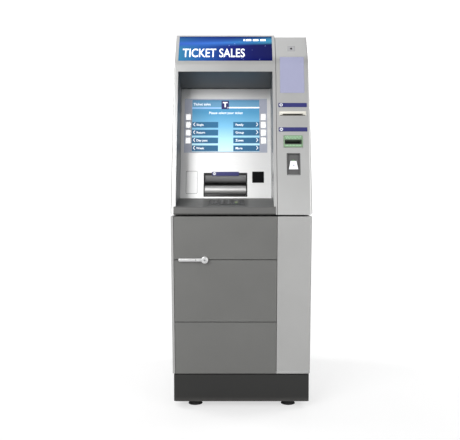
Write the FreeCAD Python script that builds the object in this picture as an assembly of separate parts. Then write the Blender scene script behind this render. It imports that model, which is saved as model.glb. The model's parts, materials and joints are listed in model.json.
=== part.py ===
"""Self-service terminal: a slanted operating head over a safe, with a narrow reader column on the right.

Frame: millimetres, +Z up, +X to the user's right, the user stands at -Y.
Origin: on the floor, at the middle of the whole machine's width and depth.
"""
import FreeCAD
import Part
import math
import os

V = FreeCAD.Vector

# ---------------------------------------------------------------- driving sizes
WIDTH = 571.0                # over the side panels
DEPTH = 860.0                # from the console's nose to the back
HEIGHT = 1572.0              # floor to roof
COLUMN_WIDTH = 140.0         # reader column at the right
COLUMN_OFFSET = 3.0          # the column's fittings sit this far left of its middle
FOOT_HEIGHT = 26.0           # floor to the plinth's lower edge
PLINTH_TOP = 138.0
PLINTH_INSET = 5.0           # the plinth's sides, inside the side panels
HEAD_HEIGHT = 769.0          # from the head's lower edge to the roof
HEAD_GAP = 6.0               # shadow gap between safe and head
SAFE_TOP = HEIGHT - HEAD_HEIGHT - HEAD_GAP
DOOR_LEAN = 57.0             # how far the lower front falls back towards the floor
DOOR_NOSE = 3.0              # the lower front's top edge lies this far behind the nose
BEND_Z = HEIGHT - 120.0           # where the head's front bends back
BEND_SETBACK = 158.0         # the head's front at the bend, behind the nose
TOP_SETBACK = 238.0          # the head's front at the roof, behind the nose
BEND_RADIUS = 130.0
COLUMN_DROP = 10.0           # the column's top lies this far below the roof
CORNER_RADIUS = 9.0          # outer vertical corners of the mouldings
SKIN = 3.0                   # sheet and moulding thickness
PANEL_SKIN = 4.0             # side panels, roof and back
JOINT_GAP = 2.0              # reveal between neighbouring mouldings
RUN_GAP = 0.4                # clearance round sliding keys
PIN_CLEARANCE = 0.05         # radial, hinge pin in its knuckle

# recess of the operating head
CHEEK_LEFT = 20.0
CHEEK_RIGHT = 15.0
OPENING_TOP = HEIGHT - 172.0
NOSE_TOP = SAFE_TOP + HEAD_GAP + 32.0
SHELF_REAR_Z = NOSE_TOP + 32.0
SHELF_DEPTH = 205.0          # nose to the foot of the operator panel
PANEL_TOP_Z = OPENING_TOP - 46.0
PANEL_TOP_SETBACK = 314.0

# lower door
DOOR_PLATE = 12.0
DOOR_PLATE_FRONT = -330.0
DOOR_GAP = 4.0
TOP_COVER = 177.0            # height of the upper door cover
LOWER_SPLIT = 223.0 / 482.0  # the lowest cover's share of the height that is left
SEAM_WIDTH = 3.0
HINGE_INSET = 8.0            # door hinge axis from the outer right side
KNUCKLE_R = 6.0
DOOR_PIN_R = 3.5
KNUCKLE_LENGTH = 32.0
DOOR_KNUCKLES = (PLINTH_TOP + 117.0, SAFE_TOP - 107.0)

# lever and bolts
LEVER_X = -WIDTH / 2 + 137.0
LEVER_LENGTH = 106.0
LEVER_THICKNESS = 14.0
HUB_R = 14.5
SPINDLE_R = 8.0
BOLT_R = 9.0
BOLT_THROW = 22.0
BOLT_SETBACK = 26.0          # bolt axes behind the door plate

# keys
FUNCTION_KEY = (18.0, 24.0, 5.0)
FUNCTION_KEY_X = 166.0
FUNCTION_KEY_V = (368.0, 332.0, 296.0, 260.0)
PIN_KEY = (22.0, 17.0, 5.0)
PIN_PITCH = (27.0, 21.0)
PIN_ROWS = 4
PIN_COLUMNS = 4

# display, slots and plates on the operator panel: width, height, centre x, centre height up the panel
DISPLAY = (300.0, 240.0, -1.0, 328.5)
CASH_SLOT = (190.0, 107.0, -1.5, 60.5)
SCANNER = (48.0, 47.0, 140.5, 94.0)
BLANK_PLATE = (49.0, 100.0, -148.0, 71.0)
DRUM_R = 27.0

# ---------------------------------------------------------------- derived places
NOSE_Y = -DEPTH / 2
BACK_Y = DEPTH / 2
HALF = WIDTH / 2
SPLIT_X = HALF - COLUMN_WIDTH
HEAD_BOTTOM = SAFE_TOP + HEAD_GAP
UPPER_SEAM = SAFE_TOP - TOP_COVER
DOOR_SEAMS = (PLINTH_TOP + LOWER_SPLIT * (UPPER_SEAM - PLINTH_TOP), UPPER_SEAM)
BOLT_HEIGHTS = (PLINTH_TOP + 162.0, UPPER_SEAM - 142.0, SAFE_TOP - 141.0)
RIB_HEIGHTS = (PLINTH_TOP + 162.0, SAFE_TOP - 197.0)
DOOR_BOTTOM = PLINTH_TOP + DOOR_GAP
TOP_Y = NOSE_Y + TOP_SETBACK
LIFT_Y = TOP_Y + 38.0        # fascia hinge axis
LIFT_Z = HEIGHT - 5.0
LIFT_PIN_R = 2.5
LIFT_KNUCKLE_R = 5.0
ROOF_FRONT = LIFT_Y - 2.5
SPLIT_BOTTOM_Y = NOSE_Y + 82.0
HINGE_X = HALF - HINGE_INSET
HINGE_Y = DOOR_PLATE_FRONT + 8.0
RECESS_LEFT = -HALF + CHEEK_LEFT
RECESS_RIGHT = SPLIT_X - CHEEK_RIGHT
RECESS_MID = (RECESS_LEFT + RECESS_RIGHT) / 2
COLUMN_MID = (SPLIT_X + HALF) / 2 - COLUMN_OFFSET
PANEL_FOOT_Y = NOSE_Y + SHELF_DEPTH
PANEL_TOP_Y = NOSE_Y + PANEL_TOP_SETBACK
PANEL_LEAN = math.degrees(math.atan2(PANEL_TOP_Y - PANEL_FOOT_Y, PANEL_TOP_Z - SHELF_REAR_Z))
PANEL_LENGTH = math.hypot(PANEL_TOP_Y - PANEL_FOOT_Y, PANEL_TOP_Z - SHELF_REAR_Z)
FRONT_LEAN = math.degrees(math.atan2(BEND_SETBACK, BEND_Z - HEAD_BOTTOM))
SHELF_FRONT_Y = NOSE_Y + 6.0
SHELF_RISE = math.degrees(math.atan2(SHELF_REAR_Z - NOSE_TOP, PANEL_FOOT_Y - SHELF_FRONT_Y))
SAFE_FRONT = DOOR_PLATE_FRONT + DOOR_PLATE + 2.0
SAFE_BACK = BACK_Y - 30.0
SAFE_HALF = HALF - 18.0
SAFE_WALL = 12.0


# ---------------------------------------------------------------- helpers
def box(x0, x1, y0, y1, z0, z1):
    return Part.makeBox(x1 - x0, y1 - y0, z1 - z0, V(x0, y0, z0))


def rod(radius, start, direction, length):
    return Part.makeCylinder(radius, length, V(*start), V(*direction))


def prism(points, x0, x1):
    """Extrudes a (y, z) outline along X."""
    wire = Part.makePolygon([V(x0, y, z) for y, z in points + points[:1]])
    return Part.Face(wire).extrude(V(x1 - x0, 0, 0))


def cut(shape, *tools):
    for tool in tools:
        shape = shape.cut(tool)
    return shape


def join(first, *others):
    for other in others:
        first = first.fuse(other)
    return first.removeSplitter()


def rounded(shape, radius, chooser):
    """Fillets the edges that chooser accepts."""
    edges = [e for e in shape.Edges if chooser(e)]
    return shape.makeFillet(radius, edges) if edges else shape


def plate(width, height, x, v, n0, n1, radius=0.0):
    """A rounded rectangle in local coordinates: x across, v up the face, from depth n0 to n1 along the normal."""
    made = Part.makeBox(width, height, n1 - n0, V(x - width / 2, v - height / 2, n0))
    if radius:
        upright = [e for e in made.Edges if abs(e.tangentAt(e.FirstParameter).z) > 0.99]
        made = made.makeFillet(radius, upright)
    return made


def placed(shape, x, y, z, lean):
    """Local x, v, n to the machine: v climbs a face that leans back by lean degrees, n points out of it."""
    moved = shape.copy()
    turn = FreeCAD.Placement(V(x, y, z), FreeCAD.Rotation(V(1, 0, 0), 90.0 - lean))
    moved.Placement = turn.multiply(moved.Placement)
    return moved


def on_panel(shape):
    return placed(shape, RECESS_MID, PANEL_FOOT_Y, SHELF_REAR_Z, PANEL_LEAN)


def on_shelf(shape):
    return placed(shape, RECESS_MID, SHELF_FRONT_Y, NOSE_TOP, 90.0 - SHELF_RISE)


def on_column(shape, z):
    """Local shapes on the column's front, centred at height z of its lower, flat part."""
    return placed(shape, COLUMN_MID, head_front(z), z, FRONT_LEAN)


def front_y(z):
    """The lower front's y at height z."""
    share = (SAFE_TOP - z) / (SAFE_TOP - PLINTH_TOP)
    return NOSE_Y + DOOR_NOSE + DOOR_LEAN * share


def head_front(z):
    """The head's front y at height z, below the bend."""
    return NOSE_Y + (z - HEAD_BOTTOM) * math.tan(math.radians(FRONT_LEAN))


def front_edge(shift=0.0, top=HEIGHT):
    """Edges of the head's front line from bottom to roof, moved back by shift: two slopes joined by an arc."""
    low = V(0, NOSE_Y + shift, HEAD_BOTTOM)
    bend = V(0, NOSE_Y + BEND_SETBACK + shift, BEND_Z)
    high = V(0, TOP_Y + shift, top)
    down = (low - bend).normalize()
    up = (high - bend).normalize()
    turn = math.pi - down.getAngle(up)
    reach = BEND_RADIUS * math.tan(turn / 2)
    first = bend + down * reach
    last = bend + up * reach
    inward = (down + up).normalize()
    centre = bend + inward * (BEND_RADIUS / math.cos(turn / 2))
    middle = centre - inward * BEND_RADIUS
    return [Part.makeLine(low, first), Part.Arc(first, middle, last).toShape(), Part.makeLine(last, high)], low, high


def behind_front(shift, x0, x1, back_top, back_bottom):
    """Solid between the head's front line, moved back by shift, and a straight rear line."""
    edges, low, high = front_edge(shift)
    rear_top = V(0, back_top, HEIGHT)
    rear_bottom = V(0, back_bottom, HEAD_BOTTOM)
    edges += [Part.makeLine(high, rear_top), Part.makeLine(rear_top, rear_bottom), Part.makeLine(rear_bottom, low)]
    face = Part.Face(Part.Wire(Part.__sortEdges__(edges)))
    face.translate(V(x0, 0, 0))
    return face.extrude(V(x1 - x0, 0, 0))


def front_skin(x0, x1, z0, z1, n0, n1):
    """A slice of the head's front, from n0 to n1 behind its surface."""
    rear = BACK_Y
    solid = behind_front(n0, x0, x1, rear, rear).cut(behind_front(n1, x0 - 1, x1 + 1, rear, rear))
    return solid.common(box(x0, x1, NOSE_Y - 50, 0, z0, z1))


def lower_block(x0, x1, z0, z1, back):
    """Block behind the leaning lower front."""
    return prism([(front_y(z0), z0), (front_y(z1), z1), (back, z1), (back, z0)], x0, x1)


PARTS = {}


def keep(name, *solids):
    PARTS[name] = solids[0] if len(solids) == 1 else Part.makeCompound(list(solids))


# ---------------------------------------------------------------- base and safe
def make_base():
    front = front_y(PLINTH_TOP) - 2.0
    outer = box(-HALF + PLINTH_INSET, HALF - PLINTH_INSET, front, BACK_Y, FOOT_HEIGHT, PLINTH_TOP)
    outer = rounded(outer, CORNER_RADIUS, lambda e: abs(e.tangentAt(e.FirstParameter).z) > 0.99)
    inner = box(-HALF + 25, HALF - 25, front + 24, BACK_Y - 24, FOOT_HEIGHT - 1, PLINTH_TOP + 1)
    cable_hole = rod(25.0, (0, BACK_Y - 30, 85.0), (0, 1, 0), 40)
    ring = cut(outer, inner, cable_hole)
    pads = []
    feet = []
    for x in (-HALF + 91, HALF - 88):
        for y in (front + 60, BACK_Y - 60):
            bracket = box(x - 26, x + 26, y - 40, y + 40, FOOT_HEIGHT, FOOT_HEIGHT + 8)
            side = -1 if x < 0 else 1
            arm = box(min(x, side * (HALF - 20)), max(x, side * (HALF - 20)), y - 40, y + 40, FOOT_HEIGHT, FOOT_HEIGHT + 8)
            pads.append(bracket.fuse(arm).cut(rod(6.3, (x, y, FOOT_HEIGHT - 1), (0, 0, 1), 12)))
            pad = Part.makeCone(30.0, 24.0, FOOT_HEIGHT - 12.0, V(x, y, 0))
            nut = rod(14.0, (x, y, FOOT_HEIGHT - 12.0), (0, 0, 1), 12.0)
            stud = rod(6.0, (x, y, FOOT_HEIGHT), (0, 0, 1), 40.0)
            lock_nut = rod(11.0, (x, y, FOOT_HEIGHT + 8.0), (0, 0, 1), 9.0)
            feet.append(join(pad, nut, stud, lock_nut))
    keep("base_plinth", join(ring, *pads))
    keep("levelling_feet", *feet)


def make_safe():
    shell = box(-SAFE_HALF, SAFE_HALF, SAFE_FRONT, SAFE_BACK, PLINTH_TOP, SAFE_TOP)
    room = box(-SAFE_HALF + SAFE_WALL, SAFE_HALF - SAFE_WALL, SAFE_FRONT + SAFE_WALL, SAFE_BACK - SAFE_WALL,
               PLINTH_TOP + SAFE_WALL, SAFE_TOP - SAFE_WALL)
    mouth = box(-SAFE_HALF + 30, SAFE_HALF - 30, SAFE_FRONT - 1, SAFE_FRONT + 20, PLINTH_TOP + 24, SAFE_TOP - 24)
    note_slot = box(-150, 150, -120, 20, SAFE_TOP - 20, SAFE_TOP + 1)
    anchors = [rod(7.0, (x, y, PLINTH_TOP - 1), (0, 0, 1), 20) for x in (-180, 180) for y in (-200, 280)]
    knuckles = []
    for z in DOOR_KNUCKLES:
        for z0 in (z - KNUCKLE_LENGTH - 0.5, z + KNUCKLE_LENGTH + 0.5):
            arm = box(SAFE_HALF - 10, HINGE_X - 1, SAFE_FRONT, SAFE_FRONT + 8, z0, z0 + KNUCKLE_LENGTH)
            neck = box(HINGE_X - 12, HINGE_X - 1, HINGE_Y + 2, SAFE_FRONT + 6, z0, z0 + KNUCKLE_LENGTH)
            barrel = rod(KNUCKLE_R, (HINGE_X, HINGE_Y, z0), (0, 0, 1), KNUCKLE_LENGTH)
            bore = rod(DOOR_PIN_R + PIN_CLEARANCE, (HINGE_X, HINGE_Y, z0 - 1), (0, 0, 1), KNUCKLE_LENGTH + 2)
            knuckles.append(join(arm, neck, barrel).cut(bore))
    keep("safe_body", join(cut(shell, room, mouth, note_slot, *anchors), *knuckles))


def make_cladding():
    left_x = (-HALF, -HALF + 10.0)
    back = BACK_Y - PANEL_SKIN
    left = lower_block(left_x[0], left_x[1], DOOR_BOTTOM, SAFE_TOP, back)
    left = rounded(left, 6.0, lambda e: e.BoundBox.XMax < left_x[0] + 0.01 and e.BoundBox.YMax < -300
                   and e.BoundBox.ZLength > 300)
    relief = box(left_x[0] + 4, left_x[1] + 1, SAFE_FRONT, back - 20, DOOR_BOTTOM + 20, SAFE_TOP - 20)
    left_rib = box(left_x[1] - 0.5, -SAFE_HALF, 0, 40, *RIB_HEIGHTS)
    right = box(HALF - PANEL_SKIN, HALF, HINGE_Y + 11.0, back, DOOR_BOTTOM, SAFE_TOP)
    right_rib = box(SAFE_HALF, HALF - PANEL_SKIN + 0.5, 0, 40, *RIB_HEIGHTS)
    back_sheet = box(-HALF, HALF, back, BACK_Y, DOOR_BOTTOM, SAFE_TOP)
    vents = [box(-120, 120, back - 1, BACK_Y + 1, z, z + 6) for z in [SAFE_TOP - 157 + 20 * k for k in range(6)]]
    back_posts = [box(x, x + 20, SAFE_BACK, back, PLINTH_TOP + 62, SAFE_TOP - 97) for x in (-200, 180)]
    keep("lower_cladding", join(cut(left, relief), left_rib, box(left_x[0] + 4, left_x[1], 0, 40, *RIB_HEIGHTS)),
         join(right, right_rib), join(cut(back_sheet, *vents), *back_posts))


def make_cassettes():
    half = 118.0
    front = SAFE_FRONT + 70
    back = front + 470
    pitch = 118.0
    floor = PLINTH_TOP + SAFE_WALL
    count = int((SAFE_TOP - SAFE_WALL - floor - 15) // pitch)
    sides = [box(s * half, s * half + 3, front, back, floor, floor + count * pitch + 15) for s in (1,)]
    sides += [box(-half - 3, -half, front, back, floor, floor + count * pitch + 15)]
    rack = [box(-half - 3, half + 3, front, back, floor, floor + 4)]
    boxes = []
    for i in range(count):
        z = floor + 14 + i * pitch
        for s in (-1, 1):
            ledge = sorted((s * half, s * (half - 14)))
            rack.append(box(ledge[0], ledge[1], front + 5, back, z - 3, z))
        body = box(-half + 2, half - 2, front + 2, back - 10, z, z + pitch - 12)
        body = rounded(body, 4.0, lambda e: abs(e.tangentAt(e.FirstParameter).y) > 0.99)
        grip = box(-45, 45, front, front + 24, z + 32, z + 74)
        bar = rod(5.0, (-45, front + 8, z + 60), (1, 0, 0), 90)
        boxes.append(join(cut(body, grip), bar))
    keep("cassette_rack", join(rack[0], *sides, *rack[1:]))
    keep("cash_cassettes", *boxes)


# ---------------------------------------------------------------- head
def make_head_case():
    def side(x0):
        rear_line = [(SPLIT_BOTTOM_Y + 3, HEAD_BOTTOM), (BACK_Y, HEAD_BOTTOM), (BACK_Y, HEIGHT),
                     (ROOF_FRONT, HEIGHT)]
        return prism(rear_line, x0, x0 + PANEL_SKIN)

    keep("head_side_panels", side(-HALF), side(HALF - PANEL_SKIN))
    inner = HALF - PANEL_SKIN
    roof = box(-inner, inner, ROOF_FRONT, BACK_Y, HEIGHT - PANEL_SKIN, HEIGHT)
    for x in LIFT_SITES:
        half = KNUCKLE_LENGTH / 2 + 0.5
        roof = roof.cut(box(x - half, x + half, ROOF_FRONT - 1, LIFT_Y + LIFT_KNUCKLE_R + 1.5, HEIGHT - 20, HEIGHT + 1))
    back = box(-inner, inner, BACK_Y - PANEL_SKIN, BACK_Y, HEAD_BOTTOM, HEIGHT - PANEL_SKIN)
    vents = [box(-150, 150, BACK_Y - 10, BACK_Y + 1, z, z + 6) for z in [HEIGHT - 242 + 20 * k for k in range(8)]]
    pieces = [cut(roof.fuse(back), *vents)]
    for x in LIFT_SITES:
        for x0 in (x - 1.5 * KNUCKLE_LENGTH - 0.5, x + 0.5 * KNUCKLE_LENGTH + 0.5):
            barrel = rod(LIFT_KNUCKLE_R, (x0, LIFT_Y, LIFT_Z), (1, 0, 0), KNUCKLE_LENGTH)
            leaf = box(x0, x0 + KNUCKLE_LENGTH, LIFT_Y, LIFT_Y + 12, HEIGHT - PANEL_SKIN, HEIGHT)
            bore = rod(LIFT_PIN_R + PIN_CLEARANCE, (x0 - 1, LIFT_Y, LIFT_Z), (1, 0, 0), KNUCKLE_LENGTH + 2)
            pieces.append(barrel.fuse(leaf).cut(bore))
    pin_paths = [rod(LIFT_PIN_R + PIN_CLEARANCE, (x - 2 * KNUCKLE_LENGTH, LIFT_Y, LIFT_Z), (1, 0, 0), 4 * KNUCKLE_LENGTH)
                 for x in LIFT_SITES]
    keep("head_cover", cut(join(*pieces), *pin_paths))

    floor_top = HEAD_BOTTOM + 6
    floor = box(-inner, inner, SPLIT_BOTTOM_Y + 60, BACK_Y - PANEL_SKIN, HEAD_BOTTOM, floor_top)
    note_slot = box(-150, 150, -120, 20, HEAD_BOTTOM - 1, floor_top + 1)
    skids = [box(x - 15, x + 15, SAFE_FRONT + 10, SAFE_BACK - 10, SAFE_TOP, HEAD_BOTTOM) for x in (-210, 210)]
    posts = [box(x, x + 20, BACK_Y - PANEL_SKIN - 20, BACK_Y - PANEL_SKIN, floor_top, HEIGHT - PANEL_SKIN)
             for x in (-inner, inner - 20)]
    keep("head_chassis", join(floor.cut(note_slot), *skids, *posts))


LIFT_SITES = (-HALF + 90.0, HALF - 90.0)


def make_head_units():
    floor_top = HEAD_BOTTOM + 6
    unit = box(-225, 40, -20, BACK_Y - 60, floor_top, floor_top + 285)
    throat = box(-160, 30, -60, -19, floor_top + 60, floor_top + 150)
    gate = box(-150, 20, -61, 60, floor_top + 95, floor_top + 112)
    keep("recycler_unit", unit.fuse(throat).cut(gate))
    computer = box(75, 255, 20, 340, floor_top, floor_top + 330)
    slots = [box(95, 235, 339, 341, floor_top + z, floor_top + z + 5) for z in range(60, 161, 20)]
    computer = rounded(computer, 3.0, lambda e: abs(e.tangentAt(e.FirstParameter).z) > 0.99)
    keep("computer_unit", cut(computer, *slots))


def make_hinge_pins():
    pins = []
    for z in DOOR_KNUCKLES:
        z0 = z - KNUCKLE_LENGTH - 3
        length = 3 * KNUCKLE_LENGTH + 7
        pins.append(join(rod(DOOR_PIN_R, (HINGE_X, HINGE_Y, z0), (0, 0, 1), length),
                         rod(DOOR_PIN_R + 1.5, (HINGE_X, HINGE_Y, z0 + length), (0, 0, 1), 3)))
    for x in LIFT_SITES:
        pins.append(rod(LIFT_PIN_R, (x - 1.5 * KNUCKLE_LENGTH - 2, LIFT_Y, LIFT_Z), (1, 0, 0), 3 * KNUCKLE_LENGTH + 4))
    keep("hinge_pins", *pins)


# ---------------------------------------------------------------- lower door
def make_door():
    plate_back = DOOR_PLATE_FRONT + DOOR_PLATE
    left = -HALF + 18
    slab = box(left, HINGE_X - 14, DOOR_PLATE_FRONT, plate_back, DOOR_BOTTOM + 4, SAFE_TOP - 4)
    lever_z = DOOR_SEAMS[1]
    bore = rod(SPINDLE_R + PIN_CLEARANCE, (LEVER_X, DOOR_PLATE_FRONT - 1, lever_z), (0, 1, 0), DOOR_PLATE + 2)
    rim = box(left + 40, HINGE_X - 60, plate_back, plate_back + 6, PLINTH_TOP + 40, SAFE_TOP - 40)
    rim = rim.cut(box(left + 46, HINGE_X - 66, plate_back - 1, plate_back + 7, PLINTH_TOP + 46, SAFE_TOP - 46))
    guides = []
    for z in BOLT_HEIGHTS:
        guide = box(-HALF + 90, -HALF + 110, plate_back, plate_back + BOLT_SETBACK + 15, z - 16, z + 16)
        guides.append(guide.cut(rod(BOLT_R + 0.1, (-HALF + 89, plate_back + BOLT_SETBACK, z), (1, 0, 0), 22)))
    knuckles = []
    for z in DOOR_KNUCKLES:
        arm = box(HINGE_X - 20, HINGE_X, DOOR_PLATE_FRONT + 4, plate_back - 1, z, z + KNUCKLE_LENGTH)
        barrel = rod(KNUCKLE_R, (HINGE_X, HINGE_Y, z), (0, 0, 1), KNUCKLE_LENGTH)
        hole = rod(DOOR_PIN_R + PIN_CLEARANCE, (HINGE_X, HINGE_Y, z - 1), (0, 0, 1), KNUCKLE_LENGTH + 2)
        knuckles.append(arm.fuse(barrel).cut(hole))
    keep("safe_door", join(slab.cut(bore), rim, *guides, *knuckles))

    lock = box(-60, 40, plate_back, plate_back + 38, lever_z - 90, lever_z - 20)
    lock = rounded(lock, 5.0, lambda e: abs(e.tangentAt(e.FirstParameter).y) > 0.99)
    keep("safe_lock", join(lock, rod(10, (-10, plate_back + 38, lever_z - 55), (0, 1, 0), 6)))


def door_cover(x0, x1, z0, z1, right_back, corners):
    """One hollow cover: a leaning front with returns, open towards the door plate."""
    outer = lower_block(x0, x1, z0, z1, DOOR_PLATE_FRONT)
    if corners:
        outer = rounded(outer, CORNER_RADIUS, lambda e: e.BoundBox.XMin > x1 - 0.01 and e.BoundBox.ZLength > 300
                        and e.BoundBox.YMax < DOOR_PLATE_FRONT - 1)
    inner = prism([(front_y(z0) + SKIN, z0 + SKIN), (front_y(z1) + SKIN, z1 - SKIN),
                   (DOOR_PLATE_FRONT + 1, z1 - SKIN), (DOOR_PLATE_FRONT + 1, z0 + SKIN)], x0 + SKIN, x1 - SKIN)
    made = outer.cut(inner)
    if right_back > DOOR_PLATE_FRONT:
        made = made.fuse(box(x1 - SKIN, x1, DOOR_PLATE_FRONT - 1, right_back, z0, z1)).removeSplitter()
    return made


def make_door_covers():
    left = -HALF + 10 + JOINT_GAP
    levels = (DOOR_BOTTOM,) + DOOR_SEAMS + (SAFE_TOP - 1,)
    half_seam = SEAM_WIDTH / 2
    covers = []
    lever_z = DOOR_SEAMS[1]
    hub_hole = rod(SPINDLE_R + 2.0, (LEVER_X, NOSE_Y - 10, lever_z), (0, 1, 0), 200)
    for i in range(3):
        z0 = levels[i] + (half_seam if i else 0)
        z1 = levels[i + 1] - (half_seam if i < 2 else 0)
        covers.append(door_cover(left, SPLIT_X - JOINT_GAP, z0, z1, DOOR_PLATE_FRONT, False).cut(hub_hole))
    keep("door_covers", *covers)
    keep("column_door_cover",
         door_cover(SPLIT_X, HALF - 1, DOOR_BOTTOM, SAFE_TOP - 1, HINGE_Y - 6.0, True))


def make_lever():
    z = DOOR_SEAMS[1]
    face = front_y(z)
    front = face - 18.0
    hub = Part.makeCylinder(HUB_R, 15.5, V(LEVER_X, front, z), V(0, 1, 0))
    hub = rounded(hub, 4.0, lambda e: e.BoundBox.YMax < front + 0.01)
    tip = LEVER_X - LEVER_LENGTH
    bar = box(tip, LEVER_X, front + 2, front + 13, z - LEVER_THICKNESS / 2, z + LEVER_THICKNESS / 2)
    bar = rounded(bar, 5.0, lambda e: abs(e.tangentAt(e.FirstParameter).x) > 0.99 or e.BoundBox.XMax < tip + 0.01)
    spindle_end = DOOR_PLATE_FRONT + DOOR_PLATE + 13.5
    spindle = rod(SPINDLE_R, (LEVER_X, front + 10, z), (0, 1, 0), spindle_end - front - 10)
    collar = rod(SPINDLE_R + 1.4, (LEVER_X, DOOR_PLATE_FRONT - 9, z), (0, 1, 0), 8.7)
    cam = rod(12.0, (LEVER_X, DOOR_PLATE_FRONT + DOOR_PLATE + 0.5, z), (0, 1, 0), 12.0)
    keep("door_lever", join(hub, bar, spindle, collar, cam))


def make_bolts():
    y = DOOR_PLATE_FRONT + DOOR_PLATE + BOLT_SETBACK
    tip = -SAFE_HALF + SAFE_WALL + BOLT_THROW + 12
    bolts = [rod(BOLT_R, (tip, y, z), (1, 0, 0), 142.0) for z in BOLT_HEIGHTS]
    carrier = box(tip + 108, tip + 128, y - 8, y + 8, min(BOLT_HEIGHTS) - 20, max(BOLT_HEIGHTS) + 20)
    keep("locking_bolts", join(carrier, *bolts))


# ---------------------------------------------------------------- fascia
def on_front(edge):
    """True for the upright edges along the head's front, the bottom edge beside it included."""
    return edge.BoundBox.ZLength < 700 and edge.CenterOfMass.z < HEIGHT - 1


def make_fascia_frame():
    inner_right = SPLIT_X - JOINT_GAP
    outer = behind_front(0, -HALF, inner_right, LIFT_Y - LIFT_KNUCKLE_R - 1, SPLIT_BOTTOM_Y)
    outer = rounded(outer, CORNER_RADIUS, lambda e: e.BoundBox.XMax < -HALF + 0.01 and on_front(e))
    hollow = behind_front(SKIN + 1, -HALF + PANEL_SKIN, inner_right - SKIN, LIFT_Y, SPLIT_BOTTOM_Y + 50)
    hollow = hollow.common(box(-HALF, HALF, NOSE_Y, BACK_Y, HEAD_BOTTOM + SKIN, HEIGHT - SKIN))
    window = box(RECESS_LEFT, RECESS_RIGHT, NOSE_Y - 10, 0, HEAD_BOTTOM - 1, OPENING_TOP)
    sign = front_skin(*SIGN_X, SIGN_Z0 - 0.5, SIGN_Z1 + 0.5, -5, 2.5)
    ledge = box(RECESS_LEFT - 8, RECESS_RIGHT + 8, NOSE_Y - 10, SPLIT_BOTTOM_Y + 60, HEAD_BOTTOM - 1, NOSE_TOP + 1)
    made = cut(outer, hollow, window, sign, ledge)
    pieces = [made]
    for x in LIFT_SITES[:1]:
        pieces.append(lift_knuckle(x))
    keep("fascia_frame", join(*pieces))


SIGN_X = (-HALF + 19.0, SPLIT_X - 14.0)
SIGN_Z0 = HEIGHT - 124.5
SIGN_Z1 = HEIGHT - 6.0


def lift_knuckle(x, drop=0.0):
    """A knuckle on a leaf; the leaf steps down where the moulding below it ends lower than the roof."""
    x0 = x - 0.5 * KNUCKLE_LENGTH
    barrel = rod(LIFT_KNUCKLE_R, (x0, LIFT_Y, LIFT_Z), (1, 0, 0), KNUCKLE_LENGTH)
    leaf = box(x0, x0 + KNUCKLE_LENGTH, LIFT_Y - 14, LIFT_Y, HEIGHT - 4, HEIGHT)
    if drop:
        web = box(x0, x0 + KNUCKLE_LENGTH, LIFT_Y - 14, LIFT_Y - 7, HEIGHT - drop - 3, HEIGHT - 3)
        leaf = web.fuse(box(x0, x0 + KNUCKLE_LENGTH, LIFT_Y - 8, LIFT_Y, HEIGHT - 7, HEIGHT - 3))
    bore = rod(LIFT_PIN_R + PIN_CLEARANCE, (x0 - 1, LIFT_Y, LIFT_Z), (1, 0, 0), KNUCKLE_LENGTH + 2)
    return barrel.fuse(leaf).cut(bore)


# column features: centre height, width, height
INFO = (HEIGHT - 186.0, 102.0, 158.0)
RECEIPT = (HEIGHT - 353.0, 112.0, 20.0)
CARD = (HEIGHT - 470.0, 80.0, 52.0)
READER = (HEIGHT - 564.0, 56.0, 94.0)
LABELS = (HEIGHT - 317.0, HEIGHT - 420.0)
LABEL = (118.0, 18.0)
CAMERA = (HEIGHT - 67.0, 33.0, 26.0)


def make_column_fascia():
    outer = behind_front(0, SPLIT_X, HALF, LIFT_Y - LIFT_KNUCKLE_R - 1, SPLIT_BOTTOM_Y)
    outer = rounded(outer, CORNER_RADIUS, lambda e: e.BoundBox.XMin > HALF - 0.01 and on_front(e))
    hollow = behind_front(SKIN + 1, SPLIT_X + SKIN, HALF - PANEL_SKIN, LIFT_Y, SPLIT_BOTTOM_Y + 50)
    hollow = hollow.common(box(-HALF, HALF, NOSE_Y, BACK_Y, HEAD_BOTTOM + SKIN, HEIGHT - COLUMN_DROP - 4))
    top_drop = box(SPLIT_X - 1, HALF + 1, NOSE_Y, BACK_Y, HEIGHT - COLUMN_DROP, HEIGHT + 1)
    holes = [on_column(plate(w, h, 0, 0, -20, 20, 2.0), z) for z, w, h in (RECEIPT, CARD, READER)]
    info = front_skin(COLUMN_MID - INFO[1] / 2, COLUMN_MID + INFO[1] / 2, INFO[0] - INFO[2] / 2,
                      INFO[0] + INFO[2] / 2, -5, 2.0)
    camera = front_skin(COLUMN_MID - CAMERA[1] / 2, COLUMN_MID + CAMERA[1] / 2, CAMERA[0] - CAMERA[2] / 2,
                        CAMERA[0] + CAMERA[2] / 2, -5, 20.0)
    made = cut(outer, hollow, top_drop, info, camera, *holes)
    keep("column_fascia", join(made, lift_knuckle(LIFT_SITES[1], COLUMN_DROP)))


def recess_outline(grow):
    """(y, z) outline of the recess: front line, ceiling, operator panel and shelf, grown outwards by grow."""
    return [(head_front(NOSE_TOP - grow) + 4.6, NOSE_TOP - grow),
            (head_front(OPENING_TOP + grow) + 4.6, OPENING_TOP + grow),
            (PANEL_TOP_Y + 6, PANEL_TOP_Z + grow), (PANEL_FOOT_Y + 6, SHELF_REAR_Z - grow)]


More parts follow.
